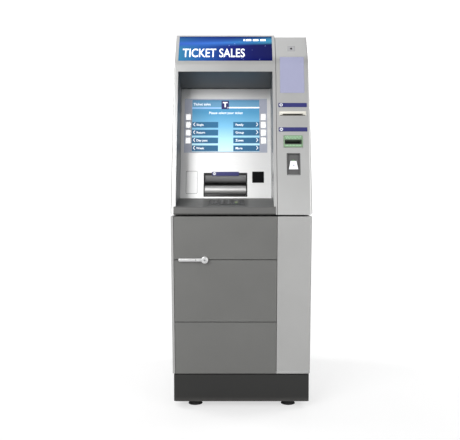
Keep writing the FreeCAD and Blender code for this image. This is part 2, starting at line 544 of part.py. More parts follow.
def make_recess():
    outer = prism(recess_outline(SKIN), RECESS_LEFT - SKIN, RECESS_RIGHT + SKIN)
    room = prism(recess_outline(0), RECESS_LEFT, RECESS_RIGHT)
    low, high = NOSE_TOP - 10, OPENING_TOP
    open_front = prism([(head_front(low) - 20, low), (head_front(low) + 8, low), (head_front(high) + 8, high),
                        (head_front(high) - 20, high)], RECESS_LEFT, RECESS_RIGHT)
    rear = on_panel(plate(RECESS_RIGHT - RECESS_LEFT, PANEL_LENGTH + 40, 0, PANEL_LENGTH / 2 - 20 + 20, -60, 0))
    shelf_gap = prism([(NOSE_Y - 5, NOSE_TOP - 30), (NOSE_Y - 5, NOSE_TOP), (SHELF_FRONT_Y, NOSE_TOP),
                       (PANEL_FOOT_Y, SHELF_REAR_Z), (PANEL_FOOT_Y + 30, SHELF_REAR_Z), (PANEL_FOOT_Y + 30, NOSE_TOP - 30)],
                      RECESS_LEFT - 20, RECESS_RIGHT + 20)
    keep("recess_surround", cut(outer, room, open_front, rear, shelf_gap))


def make_operator_panel():
    width = RECESS_RIGHT - RECESS_LEFT - 1.0
    sheet = plate(width, PANEL_LENGTH - 1, 0, PANEL_LENGTH / 2, -4, 0)
    holes = [plate(DISPLAY[0], DISPLAY[1], DISPLAY[2], DISPLAY[3], -5, 1, 1.5),
             plate(CASH_SLOT[0], CASH_SLOT[1], CASH_SLOT[2], CASH_SLOT[3], -5, 1, 2.0),
             plate(SCANNER[0], SCANNER[1], SCANNER[2], SCANNER[3], -5, 1, 1.5),
             plate(BLANK_PLATE[0], BLANK_PLATE[1], BLANK_PLATE[2], BLANK_PLATE[3], -2.2, 1, 4.0)]
    w, h, _ = FUNCTION_KEY
    for side in (-1, 1):
        for v in FUNCTION_KEY_V:
            holes.append(plate(w + 2 * RUN_GAP, h + 2 * RUN_GAP, DISPLAY[2] + side * FUNCTION_KEY_X, v, -5, 1, 2.0))
    keep("operator_panel", on_panel(cut(sheet, *holes)))


def make_function_keys():
    w, h, t = FUNCTION_KEY
    number = 1
    for side in (-1, 1):
        for v in FUNCTION_KEY_V:
            cap = plate(w, h, DISPLAY[2] + side * FUNCTION_KEY_X, v, -3.5, 1.8, 1.8)
            cap = rounded(cap, 0.6, lambda e: e.BoundBox.ZMin > 1.79)
            flange = plate(w + 4, h + 4, DISPLAY[2] + side * FUNCTION_KEY_X, v, -6.5, -4.4, 1.0)
            stem = plate(5, 5, DISPLAY[2] + side * FUNCTION_KEY_X, v, -4.5, -3.4)
            post = plate(5, 5, DISPLAY[2] + side * FUNCTION_KEY_X, v, -11.0, -6.4)
            keep(f"function_key_{number}", on_panel(join(cap, stem, flange, post)))
            number += 1


def make_display():
    w, h, x, v = DISPLAY
    glass = plate(w - 0.6, h - 0.6, x, v, -4.5, -0.4, 1.2)
    module = plate(w + 6, h + 12, x, v, -34, -4.5, 3.0)
    board = plate(w - 30, h - 60, x, v, -46, -34)
    keep("display_module", on_panel(join(glass, module, board)))


def make_sign():
    face = front_skin(SIGN_X[0] + 0.5, SIGN_X[1] - 0.5, SIGN_Z0, SIGN_Z1, 0.3, 2.2)
    keep("sign_panel", face)


def make_console():
    left, right = RECESS_LEFT - 7.5, RECESS_RIGHT + 7.5
    nose = prism([(NOSE_Y, HEAD_BOTTOM + 5), (NOSE_Y + 1, NOSE_TOP - 5), (SHELF_FRONT_Y, NOSE_TOP),
                  (NOSE_Y + 70, NOSE_TOP + 10.2), (NOSE_Y + 70, HEAD_BOTTOM), (NOSE_Y + 6, HEAD_BOTTOM)], left, right)
    nose = rounded(nose, 2.5, lambda e: e.BoundBox.YMax < NOSE_Y + 2 and e.BoundBox.XLength > 100)
    hollow = prism([(NOSE_Y + 5, HEAD_BOTTOM + 4), (NOSE_Y + 5, NOSE_TOP - 6), (NOSE_Y + 71, NOSE_TOP + 4),
                    (NOSE_Y + 71, HEAD_BOTTOM + 4)], left + 4, right - 4)
    depth = (PANEL_FOOT_Y - SHELF_FRONT_Y) / math.cos(math.radians(SHELF_RISE))
    trim = RECESS_RIGHT - RECESS_LEFT - 0.6
    shelf = on_shelf(plate(trim, depth - 0.5, 0, depth / 2, -4, 0))
    narrow = box(left - 1, RECESS_LEFT + 0.3, NOSE_Y + 1.5, NOSE_Y + 80, NOSE_TOP + 0.5, NOSE_TOP + 20)
    narrow_right = box(RECESS_RIGHT - 0.3, right + 1, NOSE_Y + 1.5, NOSE_Y + 80, NOSE_TOP + 0.5, NOSE_TOP + 20)
    pocket = on_shelf(plate(PAD_SIZE[0] + 1, PAD_SIZE[1] + 1, PAD_X, PAD_V, -30, 20, 5.5))
    shelf = join(nose, shelf).cut(hollow)
    keep("console_shelf", cut(shelf, pocket, narrow, narrow_right))


PAD_SIZE = (PIN_COLUMNS * PIN_PITCH[0] + 34.0, PIN_ROWS * PIN_PITCH[1] + 16.0)
PAD_X = 5.5
PAD_V = 96.0


def pin_places():
    """Centres of the PIN keys on the shelf, row by row from the back."""
    for row in range(PIN_ROWS):
        for column in range(PIN_COLUMNS):
            extra = 8.0 if column == PIN_COLUMNS - 1 else 0.0
            x = (column - (PIN_COLUMNS - 1) / 2) * PIN_PITCH[0] - 5.0 + extra + PAD_X
            v = PAD_V + ((PIN_ROWS - 1) / 2 - row) * PIN_PITCH[1]
            yield row, column, x, v


def make_pin_pad():
    w, d, _ = PIN_KEY
    block = plate(PAD_SIZE[0], PAD_SIZE[1], PAD_X, PAD_V, -22, 1.5, 5.0)
    block = rounded(block, 0.8, lambda e: e.BoundBox.ZMin > 1.49)
    tools = []
    for row, column, x, v in pin_places():
        wide = w + (6.0 if column == PIN_COLUMNS - 1 else 0.0)
        tools.append(plate(wide + 2 * RUN_GAP, d + 2 * RUN_GAP, x, v, -6, 3, 2.0))
        cap = plate(wide, d, x, v, -3.0, 4.0, 1.8)
        cap = rounded(cap, 0.7, lambda e: e.BoundBox.ZMin > 3.99)
        keep(f"pin_key_{row * PIN_COLUMNS + column + 1}", on_shelf(cap))
    keep("pin_pad_body", on_shelf(cut(block, *tools)))


def make_cash_slot():
    w, h, x, v = CASH_SLOT
    low = v - h / 2
    bezel = plate(w - 1, h - 1, x, v, -70, 0.8, 1.5)
    drum_v, drum_n = low + DRUM_R + 6, -DRUM_R + 6
    bore = Part.makeCylinder(DRUM_R + 1.2, w - 10, V(x - w / 2 + 5, drum_v, drum_n), V(1, 0, 0))
    mouth = Part.makeBox(w - 10, h - 24, 60, V(x - w / 2 + 5, low + 10, -52))
    mouth_front = Part.makeBox(w - 10, 62, 20, V(x - w / 2 + 5, low + 5, -10))
    hood = Part.makeCylinder(46.0, w - 10, V(x - w / 2 + 5, low + h - 54, 10), V(1, 0, 0))
    throat = Part.makeBox(w - 16, 15, 60, V(x - w / 2 + 8, low + 64, -75))
    axle = Part.makeCylinder(3.0 + PIN_CLEARANCE, w + 10, V(x - w / 2 - 5, drum_v, drum_n), V(1, 0, 0))
    keep("cash_slot_bezel", on_panel(cut(bezel, bore, mouth, mouth_front, hood, throat, axle)))

    length = w - 12
    start = V(x - length / 2, drum_v, drum_n)
    shell = Part.makeCylinder(DRUM_R, length, start, V(1, 0, 0))
    core = Part.makeCylinder(DRUM_R - 2.5, length - 6, start + V(3, 0, 0), V(1, 0, 0))
    back_half = Part.makeBox(length - 6, 3 * DRUM_R, 2 * DRUM_R, V(x - length / 2 + 3, drum_v - 1.5 * DRUM_R, drum_n - 2 * DRUM_R))
    drum = cut(shell, core, back_half)
    rods = [Part.makeCylinder(3.0, 8, V(x0, drum_v, drum_n), V(1, 0, 0))
            for x0 in (x - w / 2 + 1, x + w / 2 - 9)]
    keep("cash_shutter", on_panel(join(drum, *rods)))


def make_plates():
    keep("blanking_plate", on_panel(plate(BLANK_PLATE[0] - 2, BLANK_PLATE[1] - 2, BLANK_PLATE[2], BLANK_PLATE[3],
                                          -2.2, 0.3, 3.4)))
    scanner = on_panel(join(plate(SCANNER[0] - 0.6, SCANNER[1] - 0.6, SCANNER[2], SCANNER[3], -4, 0.5, 1.2),
                            plate(SCANNER[0] + 6, SCANNER[1] + 6, SCANNER[2], SCANNER[3], -24, -4, 2.0)))
    info = front_skin(COLUMN_MID - INFO[1] / 2 + 0.4, COLUMN_MID + INFO[1] / 2 - 0.4,
                      INFO[0] - INFO[2] / 2 + 0.4, INFO[0] + INFO[2] / 2 - 0.4, 0.3, 1.7)
    camera = front_skin(COLUMN_MID - CAMERA[1] / 2 + 0.3, COLUMN_MID + CAMERA[1] / 2 - 0.3,
                        CAMERA[0] - CAMERA[2] / 2 + 0.3, CAMERA[0] + CAMERA[2] / 2 - 0.3, 0.6, 20.0)
    keep("fascia_windows", scanner, info, camera)
    labels = [on_column(label_shape(0, 0, 0), z) for z in LABELS]
    labels.append(on_panel(label_shape(CASH_SLOT[2], CASH_SLOT[3] + CASH_SLOT[1] / 2 - 5, 0.8)))
    keep("guide_labels", *labels)


def label_shape(x, v, n):
    """A thin strip with a round pictogram boss at its left end."""
    strip = plate(LABEL[0], LABEL[1], x, v, n, n + 1.2, 2.5)
    boss = Part.makeCylinder(LABEL[1] / 2 - 1.5, 2.2, V(x - LABEL[0] / 2 + 11, v, n), V(0, 0, 1))
    return join(strip, boss)


def make_column_units():
    z, w, h = RECEIPT
    face = head_front(z)
    slot = box(COLUMN_MID - 42, COLUMN_MID + 42, face - 30, face + 60, z - 8, z - 1.5)
    bezel = plate(w - 0.8, h - 0.8, 0, 0, -20, 1.5, 1.8)
    lip = Part.makeBox(w - 14, 7, 3, V(-(w - 14) / 2, 0.8, 0.4))
    keep("receipt_slot", on_column(cut(bezel, lip), z).cut(slot))
    front = face + 20 * math.cos(math.radians(FRONT_LEAN)) + h / 2 * math.sin(math.radians(FRONT_LEAN)) + 0.3
    printer = box(COLUMN_MID - 52, COLUMN_MID + 52, front, front + 190, z - 42, z + 30).cut(slot)
    cradle = box(COLUMN_MID - 46, COLUMN_MID + 46, front + 90, front + 186, z + 30, z + 66)
    cradle = cradle.cut(box(COLUMN_MID - 41, COLUMN_MID + 41, front + 93, front + 183, z + 33, z + 70))
    roll = rod(36.0, (COLUMN_MID - 40, front + 138, z + 33.2 + 36), (1, 0, 0), 80)
    keep("receipt_printer", join(printer, cradle), roll)

    z, w, h = CARD
    face = head_front(z)
    slot = box(COLUMN_MID - 32, COLUMN_MID + 32, face - 30, face + 80, z - 7, z + 2)
    bezel = plate(w - 0.8, h - 0.8, 0, 0, -18, 4.0, 6.0)
    bezel = rounded(bezel, 2.0, lambda e: e.BoundBox.ZMin > 3.99)
    dish = plate(70, 26, 0, -2.5, 0.5, 6, 4.0)
    keep("card_slot", on_column(cut(bezel, dish), z).cut(slot))
    front = face + 18 * math.cos(math.radians(FRONT_LEAN)) + h / 2 * math.sin(math.radians(FRONT_LEAN)) + 0.3
    reader = box(COLUMN_MID - 44, COLUMN_MID + 44, front, front + 200, z - 34, z + 20)
    keep("card_reader", reader.cut(slot))

    z, w, h = READER
    frame = plate(w - 0.8, h - 0.8, 0, 0, -16, 0.8, 3.0)
    well = plate(w - 8, h - 8, 0, 0, -7, 2, 2.0)
    pad = Part.Face(Part.makePolygon([V(-20, -20, 0), V(20, -20, 0), V(13, 17, 0), V(-13, 17, 0), V(-20, -20, 0)]))
    pad = pad.extrude(V(0, 0, 4))
    pad.translate(V(0, -2, -7))
    keep("contactless_reader", on_column(join(cut(frame, well), pad), z))


def main():
    make_base()
    make_safe()
    make_cladding()
    make_cassettes()
    make_head_case()
    make_head_units()
    make_hinge_pins()
    make_door()
    make_door_covers()
    make_lever()
    make_bolts()
    make_fascia_frame()
    make_column_fascia()
    make_recess()
    make_operator_panel()
    make_function_keys()
    make_display()
    make_sign()
    make_console()
    make_pin_pad()
    make_cash_slot()
    make_plates()
    make_column_units()
    os.makedirs("parts", exist_ok=True)
    for name, shape in PARTS.items():
        if not shape.isValid() or not shape.Solids:
            print("invalid", name)
        shape.exportStep(f"parts/{name}.step")
    print(len(PARTS), "nodes", sum(len(s.Solids) for s in PARTS.values()), "solids")


main()
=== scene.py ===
"""Looks of a self-service ticket terminal, built around its packed CAD frame."""
import json
import math

import bmesh
import bpy
from mathutils import Matrix, Vector
from mathutils.bvhtree import BVHTree


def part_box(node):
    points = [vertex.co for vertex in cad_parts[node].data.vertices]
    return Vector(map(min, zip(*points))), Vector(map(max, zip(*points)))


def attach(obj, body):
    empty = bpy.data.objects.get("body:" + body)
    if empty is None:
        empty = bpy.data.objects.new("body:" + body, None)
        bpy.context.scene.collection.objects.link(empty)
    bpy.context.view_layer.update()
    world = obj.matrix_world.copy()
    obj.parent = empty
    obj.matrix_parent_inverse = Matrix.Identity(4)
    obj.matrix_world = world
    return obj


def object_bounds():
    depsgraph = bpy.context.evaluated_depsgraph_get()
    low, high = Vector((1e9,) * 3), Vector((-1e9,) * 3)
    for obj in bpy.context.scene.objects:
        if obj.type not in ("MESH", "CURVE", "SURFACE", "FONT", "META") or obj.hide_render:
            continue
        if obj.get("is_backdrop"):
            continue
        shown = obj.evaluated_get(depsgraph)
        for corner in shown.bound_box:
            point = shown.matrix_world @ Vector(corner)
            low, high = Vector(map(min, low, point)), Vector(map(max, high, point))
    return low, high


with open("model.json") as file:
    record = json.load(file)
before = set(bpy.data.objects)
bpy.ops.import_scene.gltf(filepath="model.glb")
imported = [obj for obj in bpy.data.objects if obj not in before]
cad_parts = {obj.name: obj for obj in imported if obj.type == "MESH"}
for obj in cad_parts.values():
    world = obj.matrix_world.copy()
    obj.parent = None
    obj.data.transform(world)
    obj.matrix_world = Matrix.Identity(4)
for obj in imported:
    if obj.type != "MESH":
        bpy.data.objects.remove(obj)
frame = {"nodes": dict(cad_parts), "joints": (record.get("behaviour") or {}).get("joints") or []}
CAD_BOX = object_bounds()
NODES = frame["nodes"]

bl_info = {
    "name": "Ticket Terminal",
    "version": (1, 0, 0),
    "blender": (4, 5, 0),
    "location": "View3D > Sidebar > Terminal",
    "description": "Builds a self-service ticket terminal around its CAD frame",
    "category": "Add Mesh",
}

MM = 0.001
SCANNER_MARGIN = 0.02  # the scanner window ends below this height over the note slot
CAMERA_ZONE = 0.032  # the camera window lies within this height from the top window's edge
LOUVRES = (("head", 0.150, 1.473, 8), ("safe", 0.120, 0.743, 6))  # name, half length, top height, count
LOUVRE_LIP = ((0, 0), (0.0030, -0.0016), (0.0034, -0.0048), (0.0024, -0.0050), (0.0018, -0.0022), (0, -0.0010))
CABLE_ENTRY_HEIGHT = 0.085
RATING_PLATE_X, RATING_PLATE_Z = 0.17, 1.30
CASSETTES, CASSETTE_PITCH = 5, 0.118
CAMERA_ASIDE, LENS_SHIFT = 0.0105, -0.0193
# name, place, target, width, height and share of the main light's power
LIGHTS = (("key", (-2.0, -3.4, 2.3), (0, 0, 0.9), 2.4, 2.4, 1.0),
          ("fill", (2.4, -3.0, 1.5), (0, 0, 0.9), 1.8, 2.6, 0.4),
          ("top", (-0.6, -0.4, 3.8), (0, 0, 0), 2.5, 2.5, 0.15),
          ("backdrop_left", (-3.4, 1.2, 3.4), (-1.5, 4.0, 0.8), 2.5, 2.5, 1.6),
          ("backdrop_right", (3.4, 1.2, 3.4), (1.5, 4.0, 0.8), 2.5, 2.5, 1.6))


# ---- where things are
class Face:
    """A flat face of the frame: across (u) is to the right, up (v) climbs it, out (n) leaves it."""

    def __init__(self, centre, out, width, height):
        self.out = out.normalized()
        self.up = (Vector((0, 0, 1)) - self.out * self.out.z).normalized()
        self.across = self.up.cross(self.out).normalized()
        self.centre, self.width, self.height = centre, width, height
        axes = Matrix((self.across, self.up, self.out)).transposed()
        self.matrix = Matrix.Translation(centre) @ axes.to_4x4()

    def local(self, point):
        """A point's (u, v, n) on this face."""
        return self.matrix.inverted() @ Vector(point)


def flat_face(node, toward=Vector((0, -1, 0)), part=None, outermost=False):
    """The largest, or the outermost large, flat face of a CAD node toward a direction; part keeps some polygons."""
    mesh = NODES[node].data
    groups = {}
    for polygon in mesh.polygons:
        normal = polygon.normal
        if normal.dot(toward) < 0.5 or (part and not part(polygon.center)):
            continue
        key = (round(normal.x, 2), round(normal.y, 2), round(normal.z, 2), round(normal.dot(polygon.center) * 2000))
        groups.setdefault(key, []).append(polygon)
    areas = {key: sum(p.area for p in polygons) for key, polygons in groups.items()}
    large = [key for key in groups if areas[key] > 0.15 * max(areas.values())]
    flat = groups[max(large, key=(lambda key: key[3]) if outermost else areas.get)]
    out = flat[0].normal.copy()
    face = Face(flat[0].center.copy(), out, 0, 0)
    spots = [face.local(mesh.vertices[i].co) for p in flat for i in p.vertices]
    low = Vector([min(s[k] for s in spots) for k in range(3)])
    high = Vector([max(s[k] for s in spots) for k in range(3)])
    centre = face.matrix @ Vector(((low.x + high.x) / 2, (low.y + high.y) / 2, 0))
    return Face(centre, out, high.x - low.x, high.y - low.y)


def upright(x, y, z, turn=0.0):
    """A matrix whose local v is up and n points to the front, turned about the vertical."""
    return Matrix.Translation((x, y, z)) @ Matrix.Rotation(turn, 4, "Z") @ Matrix.Rotation(math.pi / 2, 4, "X")


# ---- mesh makers
def rounded_outline(width, height, radius, u=0.0, v=0.0, steps=6):
    """Points of a rounded rectangle centred on (u, v), counter-clockwise."""
    radius = min(radius, width / 2 - 1e-5, height / 2 - 1e-5)
    points = []
    corners = ((1, -1, -90), (1, 1, 0), (-1, 1, 90), (-1, -1, 180))
    for across, up, start in corners:
        cu, cv = u + across * (width / 2 - radius), v + up * (height / 2 - radius)
        for step in range(steps + 1):
            angle = math.radians(start + 90 * step / steps)
            points.append((cu + radius * math.cos(angle), cv + radius * math.sin(angle)))
    return points


def circle_outline(radius, u=0.0, v=0.0, steps=32):
    return [(u + radius * math.cos(2 * math.pi * k / steps), v + radius * math.sin(2 * math.pi * k / steps))
            for k in range(steps)]


def add_slab(bm, outline, low, high, bevel=0.0, segments=2):
    """Adds a closed slab with this outline between two heights; its upper rim is bevelled."""
    bottom = [bm.verts.new((u, v, low)) for u, v in outline]
    top = [bm.verts.new((u, v, high)) for u, v in outline]
    count = len(outline)
    bm.faces.new(reversed(bottom))
    lid = bm.faces.new(top)
    for k in range(count):
        bm.faces.new((bottom[k], bottom[(k + 1) % count], top[(k + 1) % count], top[k]))
    if bevel:
        bmesh.ops.bevel(bm, geom=list(lid.edges), offset=bevel, segments=segments, affect="EDGES", profile=0.5)


def add_ring(bm, outer, inner, low, high):
    """Adds a closed frame between two outlines with equally many points."""
    count = len(outer)
    rows = [[bm.verts.new((u, v, n)) for u, v in line] for line, n in
            ((outer, low), (outer, high), (inner, high), (inner, low))]
    for a in range(4):
        for k in range(count):
            j = (k + 1) % count
            bm.faces.new((rows[a][k], rows[a][j], rows[(a + 1) % 4][j], rows[(a + 1) % 4][k]))


def add_lathe(bm, profile, steps=32):
    """Adds a closed turned shape about the n axis from (radius, n) points that start and end on the axis."""
    rings = []
    for radius, n in profile:
        if radius < 1e-7:
            rings.append([bm.verts.new((0, 0, n))])
        else:
            rings.append([bm.verts.new((radius * math.cos(2 * math.pi * k / steps),
                                        radius * math.sin(2 * math.pi * k / steps), n)) for k in range(steps)])
    for lower, upper in zip(rings, rings[1:]):
        for k in range(steps):
            j = (k + 1) % steps
            if len(lower) == 1:
                bm.faces.new((lower[0], upper[j], upper[k]))
            elif len(upper) == 1:
                bm.faces.new((lower[k], lower[j], upper[0]))
            else:
                bm.faces.new((lower[k], lower[j], upper[j], upper[k]))


def finish_mesh(name, bm, matrix, finish, body, slot=None):
    """Turns a bmesh into a named piece of a finish that rides on a body."""
    bmesh.ops.recalc_face_normals(bm, faces=bm.faces)
    mesh = bpy.data.meshes.new(name)
    bm.to_mesh(mesh)
    bm.free()
    mesh.transform(matrix)
    mesh.materials.append(FINISH[finish])
    mesh.shade_smooth()
    mesh.set_sharp_from_angle(angle=math.radians(35.0))
    piece = bpy.data.objects.new(name, mesh)
    bpy.context.scene.collection.objects.link(piece)
    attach(piece, body)
    return piece


def slab(name, outline, low, high, matrix, finish, body, slot=None, bevel=0.0):
    bm = bmesh.new()
    add_slab(bm, outline, low, high, bevel)
    return finish_mesh(name, bm, matrix, finish, body, slot)


def ring(name, outer, inner, low, high, matrix, finish, body, slot=None):
    bm = bmesh.new()
    add_ring(bm, outer, inner, low, high)
    return finish_mesh(name, bm, matrix, finish, body, slot)


def turned(name, profile, steps, matrix, finish, body, slot=None):
    bm = bmesh.new()
    add_lathe(bm, profile, steps)
    return finish_mesh(name, bm, matrix, finish, body, slot)


def merge(bm, made, matrix=None):
    """Moves one bmesh into another."""
    if matrix:
        made.transform(matrix)
    scrap = bpy.data.meshes.new("scrap")
    made.to_mesh(scrap)
    made.free()
    bm.from_mesh(scrap)
    bpy.data.meshes.remove(scrap)


def letter_mesh(text, height, thickness, spread=0.0, across="CENTER", widen=1.0):
    """A mesh of raised letters in the u, v plane; height is that of a capital."""
    curve = bpy.data.curves.new("letters", "FONT")
    curve.body = text
    curve.size = height / 0.69
    curve.align_x, curve.align_y = across, "CENTER"
    curve.extrude = thickness / 2
    curve.offset = spread
    curve.resolution_u = 4
    holder = bpy.data.objects.new("letters", curve)
    bpy.context.scene.collection.objects.link(holder)
    bpy.context.view_layer.update()
    mesh = bpy.data.meshes.new_from_object(holder)
    bpy.data.objects.remove(holder)
    bpy.data.curves.remove(curve)
    mesh.transform(Matrix.Diagonal((widen, 1, 1, 1)) @ Matrix.Translation((0, 0, thickness / 2)))
    return mesh


def join_letters(text, height, thickness, spread=0.0, across="CENTER", widen=1.0):
    """Raised letters as a bmesh whose walls are welded to their faces."""
    bm = bmesh.new()
    letters = letter_mesh(text, height, thickness, spread, across, widen)
    bm.from_mesh(letters)
    bpy.data.meshes.remove(letters)
    bmesh.ops.remove_doubles(bm, verts=bm.verts, dist=1e-6)
    return bm


def lettering(name, text, height, matrix, finish, body, slot=None, thickness=0.0003, spread=0.0,
              across="CENTER", widen=1.0):
    bm = join_letters(text, height, thickness, spread, across, widen)
    return finish_mesh(name, bm, matrix, finish, body, slot)


def drape(bm, node, lift, step=0.006):
    """Lays a flat bmesh, drawn in x and z, on the front of a CAD node; its y becomes its height off the surface."""
    low, high = min(v.co.z for v in bm.verts), max(v.co.z for v in bm.verts)
    cuts = int((high - low) / step)
    for k in range(1, cuts):
        plane = Vector((0, 0, low + (high - low) * k / cuts))
        bmesh.ops.bisect_plane(bm, geom=bm.verts[:] + bm.edges[:] + bm.faces[:], plane_co=plane, plane_no=(0, 0, 1))
    tree = BVHTree.FromObject(NODES[node], bpy.context.evaluated_depsgraph_get())
    for vert in bm.verts:
        hit, normal, _, _ = tree.ray_cast(Vector((vert.co.x, -2.0, vert.co.z)), Vector((0, 1, 0)))
        if hit is None:
            raise RuntimeError(f"nothing of {node} lies behind {tuple(vert.co)}")
        vert.co = hit + normal * (lift - vert.co.y)


# ---- shader effects shared by the finishes
def new_group(name, inputs, outputs):
    """A shader node group with float inputs (name: default) and float outputs."""
    group = bpy.data.node_groups.new(name, "ShaderNodeTree")
    for label, value in inputs.items():
        socket = group.interface.new_socket(name=label, in_out="INPUT", socket_type="NodeSocketFloat")
        socket.default_value = value
    for label in outputs:
        group.interface.new_socket(name=label, in_out="OUTPUT", socket_type="NodeSocketFloat")
    return group, group.nodes.new("NodeGroupInput"), group.nodes.new("NodeGroupOutput")


def give(tree, socket, value):
    """Links a socket to an input, or sets a plain value on it."""
    if isinstance(value, bpy.types.NodeSocket):
        tree.links.new(value, socket)
    elif value is not None:
        socket.default_value = value


def math_node(tree, operation, a, b=None, clamp=False):
    node = tree.nodes.new("ShaderNodeMath")
    node.operation, node.use_clamp = operation, clamp
    give(tree, node.inputs[0], a)
    give(tree, node.inputs[1], b)
    return node.outputs[0]


def object_coordinates(tree, stretch=(1, 1, 1)):
    place = tree.nodes.new("ShaderNodeTexCoord")
    mapping = tree.nodes.new("ShaderNodeMapping")
    mapping.inputs["Scale"].default_value = stretch
    tree.links.new(place.outputs["Object"], mapping.inputs["Vector"])
    return mapping.outputs[0]


def noise(tree, vector, scale, detail=3.0, roughness=0.6):
    node = tree.nodes.new("ShaderNodeTexNoise")
    node.inputs["Detail"].default_value = detail
    node.inputs["Roughness"].default_value = roughness
    tree.links.new(vector, node.inputs["Vector"])
    give(tree, node.inputs["Scale"], scale)
    return node.outputs["Fac"]


def make_paint_grain():
    """Fine orange-peel of sprayed or moulded skins, with slow cloudy unevenness."""
    group, given, made = new_group("paint_grain", {"Scale": 900.0}, ("Height", "Cloud"))
    place = object_coordinates(group)
    group.links.new(noise(group, place, given.outputs["Scale"], 2.0), made.inputs["Height"])
    group.links.new(noise(group, place, 5.0, 4.0), made.inputs["Cloud"])
    return group


def make_brushing():
    """Long fine scratches across the width of a brushed sheet."""
    group, given, made = new_group("brushing", {"Scale": 60.0}, ("Height",))
    place = object_coordinates(group, (0.6, 30.0, 30.0))
    group.links.new(noise(group, place, given.outputs["Scale"], 5.0, 0.75), made.inputs["Height"])
    return group


def make_edge_wear():
    """A mask that is high along outer edges, broken up by noise."""
    group, given, made = new_group("edge_wear", {"Radius": 0.0015, "Amount": 1.0}, ("Mask",))
    soft = group.nodes.new("ShaderNodeBevel")
    soft.samples = 4
    group.links.new(given.outputs["Radius"], soft.inputs["Radius"])
    place = group.nodes.new("ShaderNodeNewGeometry")
    dot = group.nodes.new("ShaderNodeVectorMath")
    dot.operation = "DOT_PRODUCT"
    group.links.new(soft.outputs[0], dot.inputs[0])
    group.links.new(place.outputs["Normal"], dot.inputs[1])
    bend = math_node(group, "SUBTRACT", 1.0, dot.outputs["Value"])
    broken = math_node(group, "MULTIPLY", bend, noise(group, object_coordinates(group), 90.0, 4.0))
    strong = math_node(group, "MULTIPLY", broken, 6.0)
    scaled = math_node(group, "MULTIPLY", strong, given.outputs["Amount"], clamp=True)
    group.links.new(scaled, made.inputs["Mask"])
    return group


def make_floor_dust():
    """A mask of dust and scuffs that fades upwards from the floor."""
    group, given, made = new_group("floor_dust", {"Height": 0.15}, ("Mask",))
    place = group.nodes.new("ShaderNodeTexCoord")
    split = group.nodes.new("ShaderNodeSeparateXYZ")
    group.links.new(place.outputs["Object"], split.inputs[0])
    share = math_node(group, "DIVIDE", split.outputs["Z"], given.outputs["Height"])
    fade = math_node(group, "SUBTRACT", 1.0, share, clamp=True)
    patchy = math_node(group, "MULTIPLY", fade, noise(group, place.outputs["Object"], 24.0, 6.0, 0.7))
    group.links.new(patchy, made.inputs["Mask"])
    return group


EFFECTS = {}


def make_effects():
    EFFECTS.update(paint_grain=make_paint_grain(), brushing=make_brushing(), edge_wear=make_edge_wear(),
                   floor_dust=make_floor_dust())


def effect(tree, name, **values):
    node = tree.nodes.new("ShaderNodeGroup")
    node.node_tree = EFFECTS[name]
    for label, value in values.items():
        node.inputs[label].default_value = value
    return node


def rgb(colour):
    """Three channels from one grey level or from a colour."""
    return (colour,) * 3 if isinstance(colour, (int, float)) else tuple(colour[:3])


def blend_colours(tree, share, first, second):
    """Mixes two colours (values or sockets) by a share."""
    node = tree.nodes.new("ShaderNodeMix")
    node.data_type = "RGBA"
    sockets = [s for s in node.inputs if s.type == "RGBA"]
    give(tree, node.inputs[0], share)
    for socket, value in zip(sockets, (first, second)):
        give(tree, socket, value if isinstance(value, bpy.types.NodeSocket) else (*rgb(value), 1.0))
    return next(s for s in node.outputs if s.type == "RGBA")


def spread_value(tree, source, low, high):
    """Maps a 0 to 1 value onto a range."""
    node = tree.nodes.new("ShaderNodeMapRange")
    tree.links.new(source, node.inputs["Value"])
    node.inputs["To Min"].default_value, node.inputs["To Max"].default_value = low, high
    return node.outputs[0]


def new_material(name):
    """A material with a Principled shader; returns it, its tree and the shader."""
    material = bpy.data.materials.new(name)
    material.use_nodes = True
    tree = material.node_tree
    return material, tree, tree.nodes["Principled BSDF"]


def bump(tree, shader, height, strength, distance=0.0002):
    node = tree.nodes.new("ShaderNodeBump")
    node.inputs["Strength"].default_value = strength
    node.inputs["Distance"].default_value = distance
    tree.links.new(height, node.inputs["Height"])
    tree.links.new(node.outputs[0], shader.inputs["Normal"])


def shade(colour, share):
    return tuple(channel * share for channel in rgb(colour))


def wire(tree, shader, tone, source, low, high, **levels):
    """Links a tone and a roughness spread from low to high, and sets plain levels; a glow takes the tone too."""
    tree.links.new(tone, shader.inputs["Base Color"])
    tree.links.new(spread_value(tree, source, low, high), shader.inputs["Roughness"])
    for label, value in levels.items():
        shader.inputs[label.replace("_", " ")].default_value = value
    if "Emission_Strength" in levels:
        tree.links.new(tone, shader.inputs["Emission Color"])


def coated(name, colour, rough=0.4, grain=900.0, relief=0.15, metallic=0.0, wear=0.4, worn=None, dust=0.0,
           cloud=0.06, coat=0.0, shine=0.5):
    """A painted or moulded skin: cloudy tone, fine grain, lighter worn edges and dust towards the floor."""
    material, tree, shader = new_material(name)
    skin = effect(tree, "paint_grain", Scale=grain)
    tone = blend_colours(tree, skin.outputs["Cloud"], shade(colour, 1 - cloud), shade(colour, 1 + cloud))
    worn = worn or tuple(min(1.0, c * 1.5 + 0.06) for c in rgb(colour))
    edges = effect(tree, "edge_wear", Amount=wear)
    tone = blend_colours(tree, edges.outputs["Mask"], tone, worn)
    if dust:
        fine = effect(tree, "floor_dust", Height=dust)
        tone = blend_colours(tree, fine.outputs["Mask"], tone, (0.20, 0.19, 0.18))
    wire(tree, shader, tone, skin.outputs["Cloud"], rough - 0.05, rough + 0.07, Metallic=metallic, Coat_Weight=coat,
         Specular_IOR_Level=shine)
    bump(tree, shader, skin.outputs["Height"], relief)
    return material


